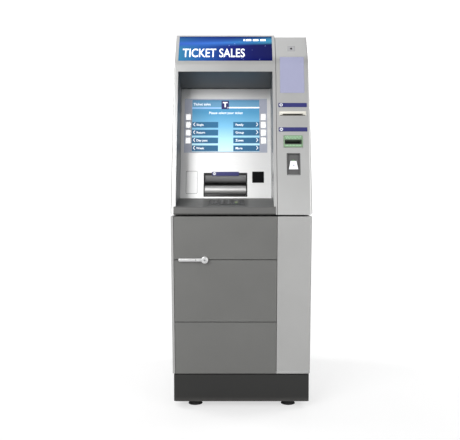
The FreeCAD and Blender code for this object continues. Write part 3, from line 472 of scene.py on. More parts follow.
def metal(name, colour, rough=0.25, scale=60.0, relief=0.1, brushed=True):
    """Bare metal, brushed across its width or polished with faint smears."""
    material, tree, shader = new_material(name)
    if brushed:
        lines = effect(tree, "brushing", Scale=scale).outputs["Height"]
    else:
        lines = effect(tree, "paint_grain", Scale=scale).outputs["Cloud"]
    tone = blend_colours(tree, lines, shade(colour, 0.86), shade(colour, 1.1))
    wire(tree, shader, tone, lines, rough - 0.06, rough + 0.1, Metallic=1.0)
    bump(tree, shader, lines, relief, 0.0001)
    return material


def lit(name, colour, glow=0.4, rough=0.35):
    """Back-lit translucent plastic or an indicator."""
    material, tree, shader = new_material(name)
    cloud = effect(tree, "paint_grain", Scale=500.0).outputs["Cloud"]
    tone = blend_colours(tree, cloud, shade(colour, 0.94), shade(colour, 1.04))
    wire(tree, shader, tone, cloud, rough - 0.04, rough + 0.05, Emission_Strength=glow)
    return material


def ramp(tree, value, stops):
    """A colour ramp over (position, colour) stops."""
    node = tree.nodes.new("ShaderNodeValToRGB")
    elements = node.color_ramp.elements
    while len(elements) < len(stops):
        elements.new(0.5)
    for element, (position, colour) in zip(elements, stops):
        element.position = position
        element.color = (*rgb(colour), 1.0)
    tree.links.new(value, node.inputs[0])
    return node.outputs[0]


def position_share(tree, axis, low, high):
    """0 at low and 1 at high along an axis of the machine."""
    place = tree.nodes.new("ShaderNodeTexCoord")
    split = tree.nodes.new("ShaderNodeSeparateXYZ")
    tree.links.new(place.outputs["Object"], split.inputs[0])
    node = tree.nodes.new("ShaderNodeMapRange")
    tree.links.new(split.outputs[axis], node.inputs["Value"])
    node.inputs["From Min"].default_value, node.inputs["From Max"].default_value = low, high
    return node.outputs[0]


# ---- finishes
FINISH = {}


def sign_print(low, high, left, right):
    """Banner print: cyan to deep navy across, bright bands above, scattered light specks."""
    material, tree, shader = new_material("sign_print")
    across = position_share(tree, "X", left, right)
    climb = position_share(tree, "Z", low, high)
    ground = ramp(tree, across, ((0.0, (0.05, 0.30, 0.50)), (0.25, (0.02, 0.13, 0.46)), (0.55, (0.008, 0.02, 0.20)),
                                 (0.8, (0.004, 0.006, 0.09)), (1.0, (0.003, 0.004, 0.06))))
    slant = math_node(tree, "SUBTRACT", climb, math_node(tree, "MULTIPLY", across, 0.16))
    bands = ramp(tree, slant, ((0.0, 0), (0.50, 0), (0.68, 1), (0.80, 0.55),
                               (0.87, 0.22), (0.93, 0.45), (1.0, 0.08)))
    sky = ramp(tree, across, ((0.0, (0.04, 0.12, 0.55)), (0.45, (0.05, 0.20, 0.68)), (0.8, (0.05, 0.32, 0.68)),
                              (1.0, (0.10, 0.55, 0.80))))
    tone = blend_colours(tree, bands, ground, sky)
    depth = ramp(tree, climb, ((0.0, 0.62), (0.55, 0.62), (0.72, 0.85),
                               (0.82, 0.50), (0.90, 0.42), (1.0, 0.12)))
    tone = blend_colours(tree, depth, (0.004, 0.008, 0.10), tone)
    place = tree.nodes.new("ShaderNodeTexCoord")
    cells = tree.nodes.new("ShaderNodeTexVoronoi")
    cells.inputs["Scale"].default_value = 70.0
    tree.links.new(place.outputs["Object"], cells.inputs["Vector"])
    near = math_node(tree, "LESS_THAN", cells.outputs["Distance"], 0.13)
    rare = math_node(tree, "GREATER_THAN", noise(tree, place.outputs["Object"], 34.0, 2.0), 0.56)
    right_side = math_node(tree, "GREATER_THAN", across, 0.45)
    specks = math_node(tree, "MULTIPLY", math_node(tree, "MULTIPLY", near, rare), right_side)
    tone = blend_colours(tree, math_node(tree, "MULTIPLY", specks, 0.8), tone, (0.35, 0.45, 0.95))
    cloud = effect(tree, "paint_grain", Scale=300.0).outputs["Cloud"]
    wire(tree, shader, tone, cloud, 0.16, 0.28, Emission_Strength=0.22, Specular_IOR_Level=0.12)
    return material


def screen_print(name, low, high, stops, glow=0.45):
    """Lit picture that changes tone upwards."""
    material, tree, shader = new_material(name)
    tone = ramp(tree, position_share(tree, "Z", low, high), stops)
    fine = object_coordinates(tree)
    tone = blend_colours(tree, spread_value(tree, noise(tree, fine, 1400.0, 1.0), 0.0, 0.06), tone, 1)
    wire(tree, shader, tone, noise(tree, fine, 40.0), 0.12, 0.2, Emission_Strength=glow)
    return material


def faded(name, low, high, stops, rough):
    """Satin skin whose tone changes upwards, with faint smears."""
    material, tree, shader = new_material(name)
    smears = effect(tree, "paint_grain", Scale=200.0).outputs["Cloud"]
    tone = ramp(tree, position_share(tree, "Z", low, high), stops)
    tone = blend_colours(tree, spread_value(tree, smears, 0.0, 0.06), tone, 0.5)
    wire(tree, shader, tone, smears, rough - 0.04, rough + 0.06, Specular_IOR_Level=0.12)
    return material


def make_finishes(colours):
    light, dark = tuple(colours.light_moulding), tuple(colours.dark_cover)
    sign_low, sign_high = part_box("sign_panel")
    screen_low, screen_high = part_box("display_module")
    hood_low, hood_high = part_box("cash_slot_bezel")
    FINISH.update(
        light=coated("light_moulding", light, 0.30, 1100.0, 0.06, metallic=0.6, wear=0.3, coat=0.1),
        side=coated("side_sheet", shade(light, 0.92), 0.42, 700.0, 0.18, wear=0.35, dust=0.2),
        dark=coated("dark_cover", dark, 0.38, 800.0, 0.10, metallic=0.45, wear=0.35, worn=(0.34, 0.34, 0.33)),
        lower_light=coated("lower_light", tuple(colours.lower_light), 0.38, 800.0, 0.10, metallic=0.35, wear=0.35),
        plinth=coated("plinth_black", (0.030, 0.030, 0.029), 0.5, 500.0, 0.3, wear=0.4, dust=0.045,
                      worn=(0.10, 0.10, 0.095), shine=0.36),
        recess=coated("recess_slate", tuple(colours.recess), 0.42, 700.0, 0.2, wear=0.15),
        # The shelf's light edges are partly wear and partly a painted highlight along the nose's top edge.
        shelf=coated("shelf_grey", tuple(colours.shelf), 0.36, 900.0, 0.18, metallic=0.2, wear=0.7,
                     worn=(0.45, 0.45, 0.44)),
        panel=metal("panel_silver", (0.93, 0.93, 0.925), 0.38, 70.0, 0.05),
        lever=coated("lever_satin", 0.86, 0.28, 900.0, 0.03, metallic=0.55, wear=0.1),
        drum=metal("shutter_satin", (0.80, 0.80, 0.79), 0.33, 30.0, 0.01),
        chrome=metal("bright_steel", 0.80, 0.16, 40.0, 0.04),
        steel=metal("plain_steel", (0.45, 0.455, 0.46), 0.34, 80.0, 0.15),
        cast=metal("pad_steel", 0.20, 0.40, 400.0, 0.1, brushed=False),
        zinc=metal("zinc_sheet", (0.55, 0.56, 0.56), 0.36, 14.0, 0.08, brushed=False),
        primer=coated("safe_paint", (0.20, 0.21, 0.22), 0.55, 400.0, 0.4, wear=0.6, worn=0.45),
        black=coated("slot_black", (0.012, 0.012, 0.013), 0.3, 900.0, 0.08, wear=0.2, worn=0.1),
        window=coated("window_dark", (0.004, 0.004, 0.005), 0.22, 300.0, 0.01, wear=0.1, worn=0.02,
                      shine=0.12),
        rubber=coated("foot_rubber", 0.018, 0.75, 300.0, 0.5, wear=0.3, worn=0.06),
        reader=coated("reader_dark", 0.115, 0.42, 900.0, 0.15, wear=0.3),
        key_dark=coated("key_dark", 0.115, 0.40, 1200.0, 0.10, metallic=0.4, wear=0.5,
                        worn=0.30),
        # Painted light: the function keys glow so that they stay white where they lie in shade.
        key_white=lit("key_white", (0.93, 0.94, 0.96), 0.7, 0.3),
        # The hood's ramp is painted shading: dark where the curved hood turns down, light at its top.
        hood=faded("hood_painted_shading", hood_low.z + 0.055, hood_high.z, ((0.0, 0.006),
                   (0.24, 0.008), (0.36, 0.05), (0.46, (0.25, 0.25, 0.252)),
                   (0.62, (0.42, 0.42, 0.424)), (0.80, (0.60, 0.60, 0.605)), (1.0, (0.85, 0.85, 0.86))), 0.40),
        green_lit=lit("slot_green", (0.22, 0.34, 0.21), 0.10, 0.3),
        green_dot=lit("dot_pale", (0.60, 0.95, 0.66), 0.5, 0.3),
        # The glow on the PIN key marks and the recycler wheels is painted light; the contactless and cassette lamps are
        # lamps.
        green=lit("key_green", (0.10, 0.26, 0.09), 0.05),
        yellow=lit("key_yellow", (0.50, 0.62, 0.20), 0.10),
        beige=coated("receipt_beige", (0.80, 0.78, 0.70), 0.28, 900.0, 0.05, wear=0.2, coat=0.4),
        navy=coated("label_navy", (0.030, 0.032, 0.17), 0.3, 900.0, 0.05, wear=0.1, worn=(0.2, 0.2, 0.35), coat=0.4),
        # The glow on the white label marks is painted light.
        white=lit("print_white", (0.9, 0.92, 0.94), 0.2, 0.4),
        legend=lit("legend_grey", (0.42, 0.43, 0.44), 0.0, 0.4),
        bright=lit("screen_white", (0.95, 0.98, 1.0), 0.6, 0.3),
        info=coated("info_film", (0.38, 0.39, 0.55), 0.26, 500.0, 0.04, wear=0.1, coat=0.5),
        pane=coated("display_pane", (0.52, 0.55, 0.66), 0.2, 500.0, 0.03, wear=0.1, coat=0.6),
        unit=coated("unit_grey", (0.16, 0.165, 0.17), 0.5, 500.0, 0.3, wear=0.4),
        cassette=coated("cassette_grey", (0.07, 0.08, 0.10), 0.48, 600.0, 0.35, wear=0.5),
        blue=coated("latch_blue", (0.03, 0.14, 0.36), 0.4, 700.0, 0.2, wear=0.4),
        paper=coated("paper", (0.82, 0.81, 0.78), 0.8, 1500.0, 0.3, wear=0.0),
        brass=metal("lock_brass", (0.62, 0.48, 0.22), 0.3, 30.0, 0.08, brushed=False),
        camera=coated("camera_cover", (0.40, 0.40, 0.41), 0.3, 600.0, 0.05, wear=0.1, coat=0.5),
        sign=sign_print(sign_low.z, sign_high.z, sign_low.x, sign_high.x),
        sky=screen_print("screen_sky", screen_low.z, screen_high.z,
                         ((0.0, (0.62, 0.86, 0.93)), (0.25, (0.42, 0.74, 0.88)), (0.5, (0.17, 0.48, 0.72)),
                          (0.75, (0.055, 0.28, 0.50)), (1.0, (0.05, 0.24, 0.46)))),
        bar=screen_print("screen_bar", screen_low.z, screen_high.z,
                         ((0.0, (0.006, 0.10, 0.22)), (1.0, (0.006, 0.14, 0.30)))),
        bar_pale=screen_print("screen_band", screen_low.z, screen_high.z,
                              ((0.0, (0.30, 0.52, 0.80)), (1.0, (0.28, 0.50, 0.80))), 0.5),
        header=screen_print("screen_header", screen_low.z, screen_high.z,
                            ((0.0, (0.10, 0.30, 0.48)), (0.8, (0.12, 0.32, 0.50)), (0.92, (0.10, 0.27, 0.44)),
                             (1.0, (0.03, 0.16, 0.30)))),
    )


NODE_FINISH = {
    "light": ("fascia_frame", "column_fascia"),
    "side": ("head_side_panels", "head_cover"),
    "dark": ("door_covers",),
    "lower_light": ("column_door_cover", "lower_cladding"),
    "plinth": ("base_plinth", "head_chassis"),
    "rubber": ("levelling_feet",),
    "primer": ("safe_body", "safe_door"),
    "steel": ("hinge_pins", "locking_bolts", "safe_lock", "cassette_rack"),
    "lever": ("door_lever",),
    "drum": ("cash_shutter",),
    "cassette": ("cash_cassettes",),
    "unit": ("recycler_unit", "computer_unit", "receipt_printer", "card_reader"),
    "recess": ("recess_surround",),
    "panel": ("operator_panel", "blanking_plate"),
    "pane": ("display_module",),
    "sign": ("sign_panel",),
    "shelf": ("console_shelf",),
    "cast": ("pin_pad_body",),
    "black": ("cash_slot_bezel",),
    "info": ("fascia_windows",),
    "navy": ("guide_labels",),
    "beige": ("receipt_slot",),
    "green_lit": ("card_slot",),
    "reader": ("contactless_reader",),
}
BEVELLED = {"fascia_frame": 1.6, "column_fascia": 1.6, "console_shelf": 2.2, "door_covers": 1.0,
            "column_door_cover": 1.0, "lower_cladding": 1.0, "head_side_panels": 0.8, "head_cover": 0.8,
            "base_plinth": 1.5, "door_lever": 1.0, "recess_surround": 0.6, "operator_panel": 0.3,
            "cash_cassettes": 1.0, "recycler_unit": 2.0, "safe_body": 1.0, "safe_door": 0.8}


def soften(node, width):
    """Rounds a CAD node's sharp edges with a modifier, which leaves its mesh as it is."""
    piece = NODES[node]
    modifier = piece.modifiers.new("soft_edges", "BEVEL")
    modifier.width = width * MM
    modifier.segments = 2
    modifier.limit_method = "ANGLE"
    modifier.angle_limit = math.radians(40)
    modifier.use_clamp_overlap = True
    modifier.harden_normals = False


def paint_nodes():
    for finish, names in NODE_FINISH.items():
        for name in names:
            NODES[name].data.materials.clear()
            NODES[name].data.materials.append(FINISH[finish])
    for name, node in NODES.items():
        # The function keys' glow is painted light that keeps them white in shade.
        if name.startswith("function_key"):
            node.data.materials.clear()
            node.data.materials.append(FINISH["key_white"])
        elif name.startswith("pin_key"):
            node.data.materials.clear()
            node.data.materials.append(FINISH["key_dark"])
    windows = NODES["fascia_windows"].data
    scanner_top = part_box("cash_slot_bezel")[1].z + SCANNER_MARGIN
    camera_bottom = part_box("fascia_windows")[1].z - CAMERA_ZONE
    windows.materials.append(FINISH["window"])
    windows.materials.append(FINISH["camera"])
    for polygon in windows.polygons:
        polygon.material_index = 1 if polygon.center.z < scanner_top else 2 if polygon.center.z > camera_bottom else 0


# ---- sign, display and operator panel
def build_sign(sizes):
    low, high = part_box("sign_panel")
    width = high.x - low.x
    bm = join_letters("TICKET SALES", sizes.sign_letter_height, 0.0006, 0.0006, "LEFT", 0.74)
    heights = [v.co.y for v in bm.verts]
    corner = Vector((min(v.co.x for v in bm.verts), (min(heights) + max(heights)) / 2))
    for vert in bm.verts:
        u, v, n = vert.co
        vert.co = (low.x + 0.017 + (u - corner.x), n, low.z + 0.037 + (v - corner.y))
    drape(bm, "sign_panel", 0.0001)
    finish_mesh("sign_lettering", bm, Matrix(), "bright", "fascia", "key_white")
    bm = bmesh.new()
    for k, length in enumerate((0.006, 0.024, 0.024, 0.024)):
        u = low.x + width * 0.67 + k * 0.031 + (0.012 if k == 0 else 0)
        made = bmesh.new()
        add_slab(made, rounded_outline(length, 0.009, 0.002, u, high.z - 0.018), 0, 0.0006)
        for vert in made.verts:
            vert.co = (vert.co.x, vert.co.z, vert.co.y)
        merge(bm, made)
    drape(bm, "sign_panel", 0.0001)
    finish_mesh("sign_tags", bm, Matrix(), "bright", "fascia", "key_white")


def build_display():
    panel = flat_face("operator_panel")
    screen = flat_face("display_module")
    keys = [flat_face(f"function_key_{k}") for k in range(1, 9)]
    middle = panel.local(screen.centre)
    half_key = max(k.width for k in keys) / 2 + 0.0015
    reach = abs(panel.local(keys[0].centre).x - middle.x) + half_key
    half_height = screen.height / 2 + 0.004
    columns = sorted({-reach - 0.004, -reach, -reach + 2 * half_key, -screen.width / 2 - 0.0005,
                      screen.width / 2 + 0.0005, reach - 2 * half_key, reach, reach + 0.004})
    rows = {-half_height, half_height, -screen.height / 2 - 0.0005, screen.height / 2 + 0.0005}
    holes = [(-screen.width / 2 - 0.0005, screen.width / 2 + 0.0005, -screen.height / 2 - 0.0005,
              screen.height / 2 + 0.0005)]
    for key in keys:
        u, v, _ = panel.local(key.centre) - middle
        low, high = v - key.height / 2 - 0.0016, v + key.height / 2 + 0.0016
        rows |= {low, high}
        left = -reach if u < 0 else reach - 2 * half_key
        holes.append((left, left + 2 * half_key, low, high))
    rows = sorted(rows)
    bm = bmesh.new()
    spots = {}

    def spot(u, v):
        return spots.setdefault((u, v), bm.verts.new((u, v, 0)) if (u, v) not in spots else None)

    for a, b in zip(columns, columns[1:]):
        for c, d in zip(rows, rows[1:]):
            u, v = (a + b) / 2, (c + d) / 2
            if any(h[0] < u < h[1] and h[2] < v < h[3] for h in holes):
                continue
            bm.faces.new([spot(a, c), spot(b, c), spot(b, d), spot(a, d)])
    raised = bmesh.ops.extrude_face_region(bm, geom=bm.faces[:])
    bmesh.ops.translate(bm, verts=[g for g in raised["geom"] if isinstance(g, bmesh.types.BMVert)], vec=(0, 0, 0.0006))
    place = panel.matrix @ Matrix.Translation((middle.x, middle.y, 0.00005))
    finish_mesh("display_pane", bm, place, "pane", "fascia", "display_glass")
    build_picture(screen)


OPTIONS = (("Single", "Family"), ("Return", "Group"), ("Day pass", "Zones"), ("Week", "More"))


def build_picture(screen):
    """The screen's picture: header, title, option bars, chevrons and plain words."""
    width, height = screen.width - 0.002, screen.height - 0.002
    layer = 0.00012

    def area(name, u0, u1, v0, v1, level, finish, radius=0.0004):
        """Part of the picture between shares of its width and height."""
        w, h = (u1 - u0) * width, (v1 - v0) * height
        outline = rounded_outline(w, h, radius, (u0 + u1 - 1) / 2 * width, (v0 + v1 - 1) / 2 * height, 2)
        return slab(name, outline, (level - 1) * layer, level * layer, screen.matrix, finish, "fascia",
                    "display_glass")

    def words(name, text, u, v, tall, across="LEFT", spread=0.0, widen=1.0):
        place = screen.matrix @ Matrix.Translation(((u - 0.5) * width, (v - 0.5) * height, 3 * layer))
        lettering(name, text, tall, place, "bright", "fascia", "display_glass", 0.0001, spread, across,
                  widen)

    area("screen_picture", 0, 1, 0, 1, 1, "sky")
    area("screen_header", 0, 1, 0.865, 1, 2, "header")
    area("screen_header_band", 0, 0.46, 0.826, 0.858, 2, "bar_pale")
    area("screen_header_line", 0.52, 1, 0.838, 0.862, 3, "bright")
    area("screen_tile", 0.436, 0.546, 0.82, 0.985, 3, "navy")
    words("screen_tile_letter", "T", 0.491, 0.903, 0.022, "CENTER", 0.0012)
    words("screen_heading", "Ticket sales", 0.02, 0.915, 0.011, spread=0.0002)
    words("screen_title", "Please select your ticket", 0.5, 0.745, 0.0105, "CENTER", 0.0002)
    for row, pair in enumerate(OPTIONS):
        v = 0.515 - row * 0.151
        for side, text in enumerate(pair):
            u0, u1 = (0, 0.388) if side == 0 else (0.612, 1.0)
            area(f"screen_option_{row + 1}_{side + 1}", u0, u1, v - 0.056, v + 0.056, 2, "bar")
            words(f"screen_words_{row + 1}_{side + 1}", text, (0.065, 0.645)[side], v, 0.0095, spread=0.00025)
            words(f"screen_chevron_{row + 1}_{side + 1}", "<>"[side], (0.032, 0.966)[side], v, 0.026, "CENTER", 0.0004,
                  0.42)


def label_mark(name, face, kind):
    """A round white boss face with a small dark sign on it."""
    radius = 0.0066
    slab(name, circle_outline(radius, steps=28), 0, 0.0003, face, "white", "fascia", "key_white")
    bm = bmesh.new()
    if kind == "card":
        add_slab(bm, rounded_outline(0.0078, 0.0052, 0.0008), 0.0003, 0.0005)
    elif kind == "note":
        add_ring(bm, rounded_outline(0.009, 0.005, 0.0006), rounded_outline(0.0072, 0.0032, 0.0004), 0.0003, 0.0005)
        add_slab(bm, circle_outline(0.0012, steps=14), 0.0003, 0.0005)
    else:
        add_slab(bm, rounded_outline(0.0052, 0.0085, 0.0006), 0.0003, 0.0005)
    finish_mesh(name + "_sign", bm, face, "navy", "fascia", "label_navy")


def build_labels():
    """White pictograms on the three guide labels' round ends."""
    mesh = NODES["guide_labels"].data
    slot_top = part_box("cash_slot_bezel")[1].z + 0.03
    receipt_low, receipt_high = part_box("receipt_slot")
    middle = (receipt_low.z + receipt_high.z) / 2
    tests = {"note": lambda c: c.z < slot_top, "card": lambda c: slot_top <= c.z < middle,
             "receipt": lambda c: c.z >= middle}
    for kind, test in tests.items():
        strip = flat_face("guide_labels", part=test)
        strip_spots = [strip.local(v.co) for v in mesh.vertices if test(v.co)]
        left = min(s.x for s in strip_spots)
        top = max(s.z for s in strip_spots)
        place = strip.matrix @ Matrix.Translation((left + 0.011, 0, top + 0.00005))
        label_mark(f"label_mark_{kind}", place, kind)


def build_cash_slot():
    """Curved hood, lower lip, finger notch and end cheeks of the note slot."""
    bezel = flat_face("cash_slot_bezel", outermost=True)
    bm = bmesh.new()
    width = bezel.width - 0.012
    rows = []
    for rise in [k / 12 for k in range(13)]:
        v, n = 0.0062 + 0.0460 * rise, 0.0015 - 0.0115 * rise ** 2
        rows.append([bm.verts.new((u, v, n)) for u in (-width / 2, width / 2)])
    for first, second in zip(rows, rows[1:]):
        bm.faces.new((first[0], first[1], second[1], second[0]))
    bmesh.ops.solidify(bm, geom=bm.faces[:], thickness=0.0008)
    # The hood's finish paints shading on it, dark below and light at its top.
    finish_mesh("cash_slot_hood", bm, bezel.matrix, "hood", "fascia", "slot_black")
    lip = bezel.matrix @ Matrix.Translation((0, -bezel.height / 2 + 0.0078, 0))
    slab("cash_slot_lip", rounded_outline(bezel.width - 0.014, 0.0065, 0.001), -0.003, -0.0006, lip, "black",
         "fascia", "slot_black", 0.0005)
    notch = [(0.016 * math.cos(math.pi * k / 16), 0.005 * math.sin(math.pi * k / 16)) for k in range(17)]
    edge = bezel.matrix @ Matrix.Translation((0, -bezel.height / 2 + 0.0008, 0))
    slab("cash_slot_notch", notch, -0.0005, 0.0012, edge, "black", "fascia", "slot_black", 0.0004)
    for side in (-1, 1):
        place = bezel.matrix @ Matrix.Translation((side * (bezel.width / 2 - 0.0022), -0.006, 0))
        slab(f"cash_slot_cheek_{'left' if side < 0 else 'right'}", rounded_outline(0.0024, bezel.height - 0.03, 0.001),
             0.0, 0.0016, place, "black", "fascia", "slot_black", 0.0005)


def build_panel_details():
    """Groove of the blank plate and scanner rim."""
    blank = flat_face("blanking_plate")
    ring("blank_plate_groove", rounded_outline(blank.width + 0.003, blank.height + 0.003, 0.005),
         rounded_outline(blank.width + 0.0012, blank.height + 0.0012, 0.0042), -0.002, -0.0002, blank.matrix, "black",
         "fascia", "slot_black")
    scanner_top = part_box("cash_slot_bezel")[1].z + SCANNER_MARGIN
    scanner = flat_face("fascia_windows", part=lambda c: c.z < scanner_top)
    ring("scanner_rim", rounded_outline(scanner.width + 0.004, scanner.height + 0.004, 0.0025),
         rounded_outline(scanner.width - 0.0005, scanner.height - 0.0005, 0.0015), -0.0003, 0.0004, scanner.matrix,
         "black", "fascia", "slot_black")


# ---- PIN pad
LEGENDS = ("1", "2", "3", "X", "4", "5", "6", "<", "7", "8", "9", "", "*", "0", "#", "")


def build_pin_legends():
    for number, text in enumerate(LEGENDS, 1):
        if not text:
            continue
        cap = flat_face(f"pin_key_{number}", Vector((0, 0, 1)))
        place = cap.matrix @ Matrix.Translation((0, 0, 0.00005))
        lettering(f"pin_legend_{number}", text, 0.0072, place, "legend", f"pin_key_{number}_body", "key_white",
                  0.0002, 0.0002)
    for number, finish, width in ((12, "yellow", 0.0115), (16, "green", 0.0095)):
        cap = flat_face(f"pin_key_{number}", Vector((0, 0, 1)))
        place = cap.matrix @ Matrix.Translation((-0.003, 0, 0.00005))
        slab(f"pin_mark_{number}", rounded_outline(width, 0.0105, 0.0015), 0, 0.0003, place, finish,
             f"pin_key_{number}_body", "key_dark", 0.0001)


def build_pad_surround():
    pad = flat_face("pin_pad_body", Vector((0, 0, 1)), outermost=True)
    ring("pad_trim", rounded_outline(pad.width + 0.010, pad.height + 0.010, 0.008),
         rounded_outline(pad.width + 0.004, pad.height + 0.004, 0.0055), -0.0012, 0.0006, pad.matrix, "cast", "fascia",
         "bright_steel")
    corner = pad.matrix @ Matrix.Translation((-pad.width / 2 + 0.009, pad.height / 2 - 0.005, 0))
    ring("pad_marker", rounded_outline(0.0052, 0.0052, 0.0025), rounded_outline(0.0034, 0.0034, 0.0016), 0, 0.0008,
         corner, "chrome", "fascia", "bright_steel")


# ---- reader column
def build_receipt_slot():
    lip = flat_face("receipt_slot", outermost=True)
    for name, height, v, tall, finish in (("receipt_lip", 0.0095, 0.0035, 0.0024, "beige"),
                                          ("receipt_shadow", 0.0030, -0.0078, 0.0008, "black")):
        place = lip.matrix @ Matrix.Translation((0, v, 0))
        slab(name, rounded_outline(lip.width - 0.006, height, height / 2 - 0.0002), 0, tall, place, finish,
             "fascia", "receipt_beige", 0.0005)


def build_card_slot():
    """Lit bezel: rows of pale dots above and below a black throat."""
    bezel = flat_face("card_slot", outermost=True)
    bm = bmesh.new()
    for row, v in enumerate((bezel.height / 2 - 0.006, bezel.height / 2 - 0.0115, -bezel.height / 2 + 0.0055)):
        for k in range(11):
            u = (k - 5) * 0.0060 + (0.003 if row == 1 else 0)
            if abs(u) < bezel.width / 2 - 0.006:
                add_slab(bm, circle_outline(0.0012, u, v, 12), -0.0002, 0.0006, 0.0002, 1)
    finish_mesh("card_slot_lights", bm, bezel.matrix, "green_dot", "fascia", "slot_green")
    low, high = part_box("card_slot")
    mouth = bezel.local(((low.x + high.x) / 2, bezel.centre.y, bezel.centre.z - 0.0025))
    ring("card_slot_throat", rounded_outline(0.069, 0.0185, 0.003), rounded_outline(0.0635, 0.0090, 0.0008), -0.0034,
         -0.0028, bezel.matrix @ Matrix.Translation((0, mouth.y, 0)), "black", "fascia", "slot_black")


def build_contactless():
    reader = flat_face("contactless_reader", outermost=True)
    outline = [(-0.0190, -0.0212), (0.0190, -0.0212), (0.0124, 0.0142), (-0.0124, 0.0142)]
    slab("contactless_pad", outline, -0.0039, -0.0030, reader.matrix, "white", "fascia", "reader_dark", 0.0004)
    slab("contactless_lamp", rounded_outline(0.010, 0.004, 0.0018, 0, 0.0165), -0.0045, -0.0024, reader.matrix,
         "green", "fascia", "reader_dark", 0.0004)
    slab("contactless_line", rounded_outline(reader.width - 0.004, 0.0016, 0.0007, 0, -reader.height / 2 + 0.0014), 0,
         0.0004, reader.matrix, "steel", "fascia", "reader_dark", 0.0002)
    bm = bmesh.new()
    for k in range(3):
        radius = 0.0034 + 0.0026 * k
        arc = [math.radians(55 + 70 * j / 10) for j in range(11)]
        outer = [((radius + 0.0006) * math.cos(a), (radius + 0.0006) * math.sin(a)) for a in arc]
        inner = [((radius - 0.0006) * math.cos(a), (radius - 0.0006) * math.sin(a)) for a in reversed(arc)]
        add_slab(bm, outer + inner, -0.0030, -0.0028)
    finish_mesh("contactless_waves", bm, reader.matrix @ Matrix.Translation((0, -0.011, 0)), "navy", "fascia",
                "reader_dark")


def build_camera():
    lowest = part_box("fascia_windows")[1].z - CAMERA_ZONE
    window = flat_face("fascia_windows", part=lambda c: c.z > lowest)
    profile = [(0, 0.0001), (0.0045, 0.0001), (0.0045, 0.0008), (0.0036, 0.0010), (0.0034, 0.0005), (0, 0.0004)]
    turned("camera_lens", profile, 28, window.matrix, "window", "fascia", "window_dark")


# ---- small hardware
def add_screw(bm, matrix, radius=0.004):
    """A domed cross-head screw on a surface."""
    made = bmesh.new()
    add_lathe(made, [(0, 0), (radius, 0), (radius, 0.0006), (radius * 0.8, 0.0016), (radius * 0.45, 0.0021),
                     (radius * 0.34, 0.0011), (0, 0.0011)], 20)
    merge(bm, made, matrix)


def screws(name, places, body, slot, finish="steel", radius=0.004):
    bm = bmesh.new()
    for place in places:
        add_screw(bm, place, radius)
    return finish_mesh(name, bm, Matrix(), finish, body, slot)


def build_back():
    """Screws, louvre lips, cable gland and a blank plate on the back."""
    low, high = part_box("head_cover")
    base_low, base_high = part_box("lower_cladding")
    back, aside = high.y, high.x - 0.016
    for name, heights in (("head", (low.z + 0.02, (low.z + high.z) / 2, high.z - 0.03)),
                          ("safe", (base_low.z + 0.02, (base_low.z + base_high.z) / 2, base_high.z - 0.02))):
        spots = [upright(x, back, z, math.pi) for x in (-aside, aside) for z in heights]
        screws(f"{name}_back_screws", spots, "cabinet", "plain_steel")
    for name, reach, top, count in LOUVRES:
        bm = bmesh.new()
        for k in range(count):
            z = top - 0.020 * k + 0.0052
            ends = [[bm.verts.new((x, back - 0.0003 + y * 0.8, z + v)) for y, v in LOUVRE_LIP] for x in (-reach, reach)]
            for j in range(len(LOUVRE_LIP)):
                i = (j + 1) % len(LOUVRE_LIP)
                bm.faces.new((ends[0][j], ends[0][i], ends[1][i], ends[1][j]))
            bm.faces.new(ends[0])
            bm.faces.new(ends[1])
        finish_mesh(f"{name}_louvres", bm, Matrix(), "side", "cabinet", "light_moulding")
    gland = upright(0, base_high.y, CABLE_ENTRY_HEIGHT, math.pi)
    bm = bmesh.new()
    add_ring(bm, circle_outline(0.031, steps=36), circle_outline(0.0242, steps=36), -0.0004, 0.003)
    add_ring(bm, circle_outline(0.0246, steps=36), circle_outline(0.0160, steps=36), -0.018, 0.0022)
    finish_mesh("cable_grommet", bm, gland, "rubber", "cabinet", "foot_rubber")
    slab("blank_rating_plate", rounded_outline(0.070, 0.040, 0.003), -0.0001, 0.0008,
         upright(RATING_PLATE_X, back, RATING_PLATE_Z, math.pi), "panel", "cabinet", "panel_silver",
         0.0002)


def build_sides():
    """Cam locks and fixing screws on the head's sides."""
    low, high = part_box("head_side_panels")
    for side, x in ((-1, low.x), (1, high.x)):
        turn = math.radians(90 * side)
        name = "left" if side < 0 else "right"
        place = upright(x, 0.06, low.z + 0.05, turn)
        profile = [(0, 0), (0.0115, 0), (0.0115, 0.0010), (0.0100, 0.0022), (0.0078, 0.0024), (0.0074, 0.0016),
                   (0, 0.0016)]
        turned(f"side_lock_{name}", profile, 36, place, "chrome", "cabinet", "bright_steel")
        slab(f"side_lock_key_{name}", rounded_outline(0.0016, 0.0075, 0.0006), 0.0016, 0.0018, place, "black",
             "cabinet", "slot_black")
        spots = [upright(x, y, high.z - 0.03, turn) for y in (high.y - 0.03, 0.06)]
        spots.append(upright(x, high.y - 0.03, low.z + 0.03, turn))
        screws(f"side_screws_{name}", spots, "cabinet", "plain_steel")


def build_lower_details():
    """Lever cap and column ledge."""
    axis = next(j for j in frame["joints"] if j["name"] == "lever_turn")["pos_m"]
    place = upright(axis[0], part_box("door_lever")[0].y, axis[2])
    turned("lever_cap", [(0, -0.0002), (0.0042, -0.0002), (0.0042, 0.0002), (0.0034, 0.0005), (0, 0.0004)], 24, place,
           "steel", "lever", "plain_steel")
    cover = flat_face("column_door_cover")
    foot = cover.matrix @ Matrix.Translation((0, -cover.height / 2 + 0.006, 0))
    slab("column_ledge", rounded_outline(cover.width - 0.002, 0.010, 0.001), -0.0002, 0.0030, foot,
         "lower_light", "lower_door", "lower_light", 0.0008)


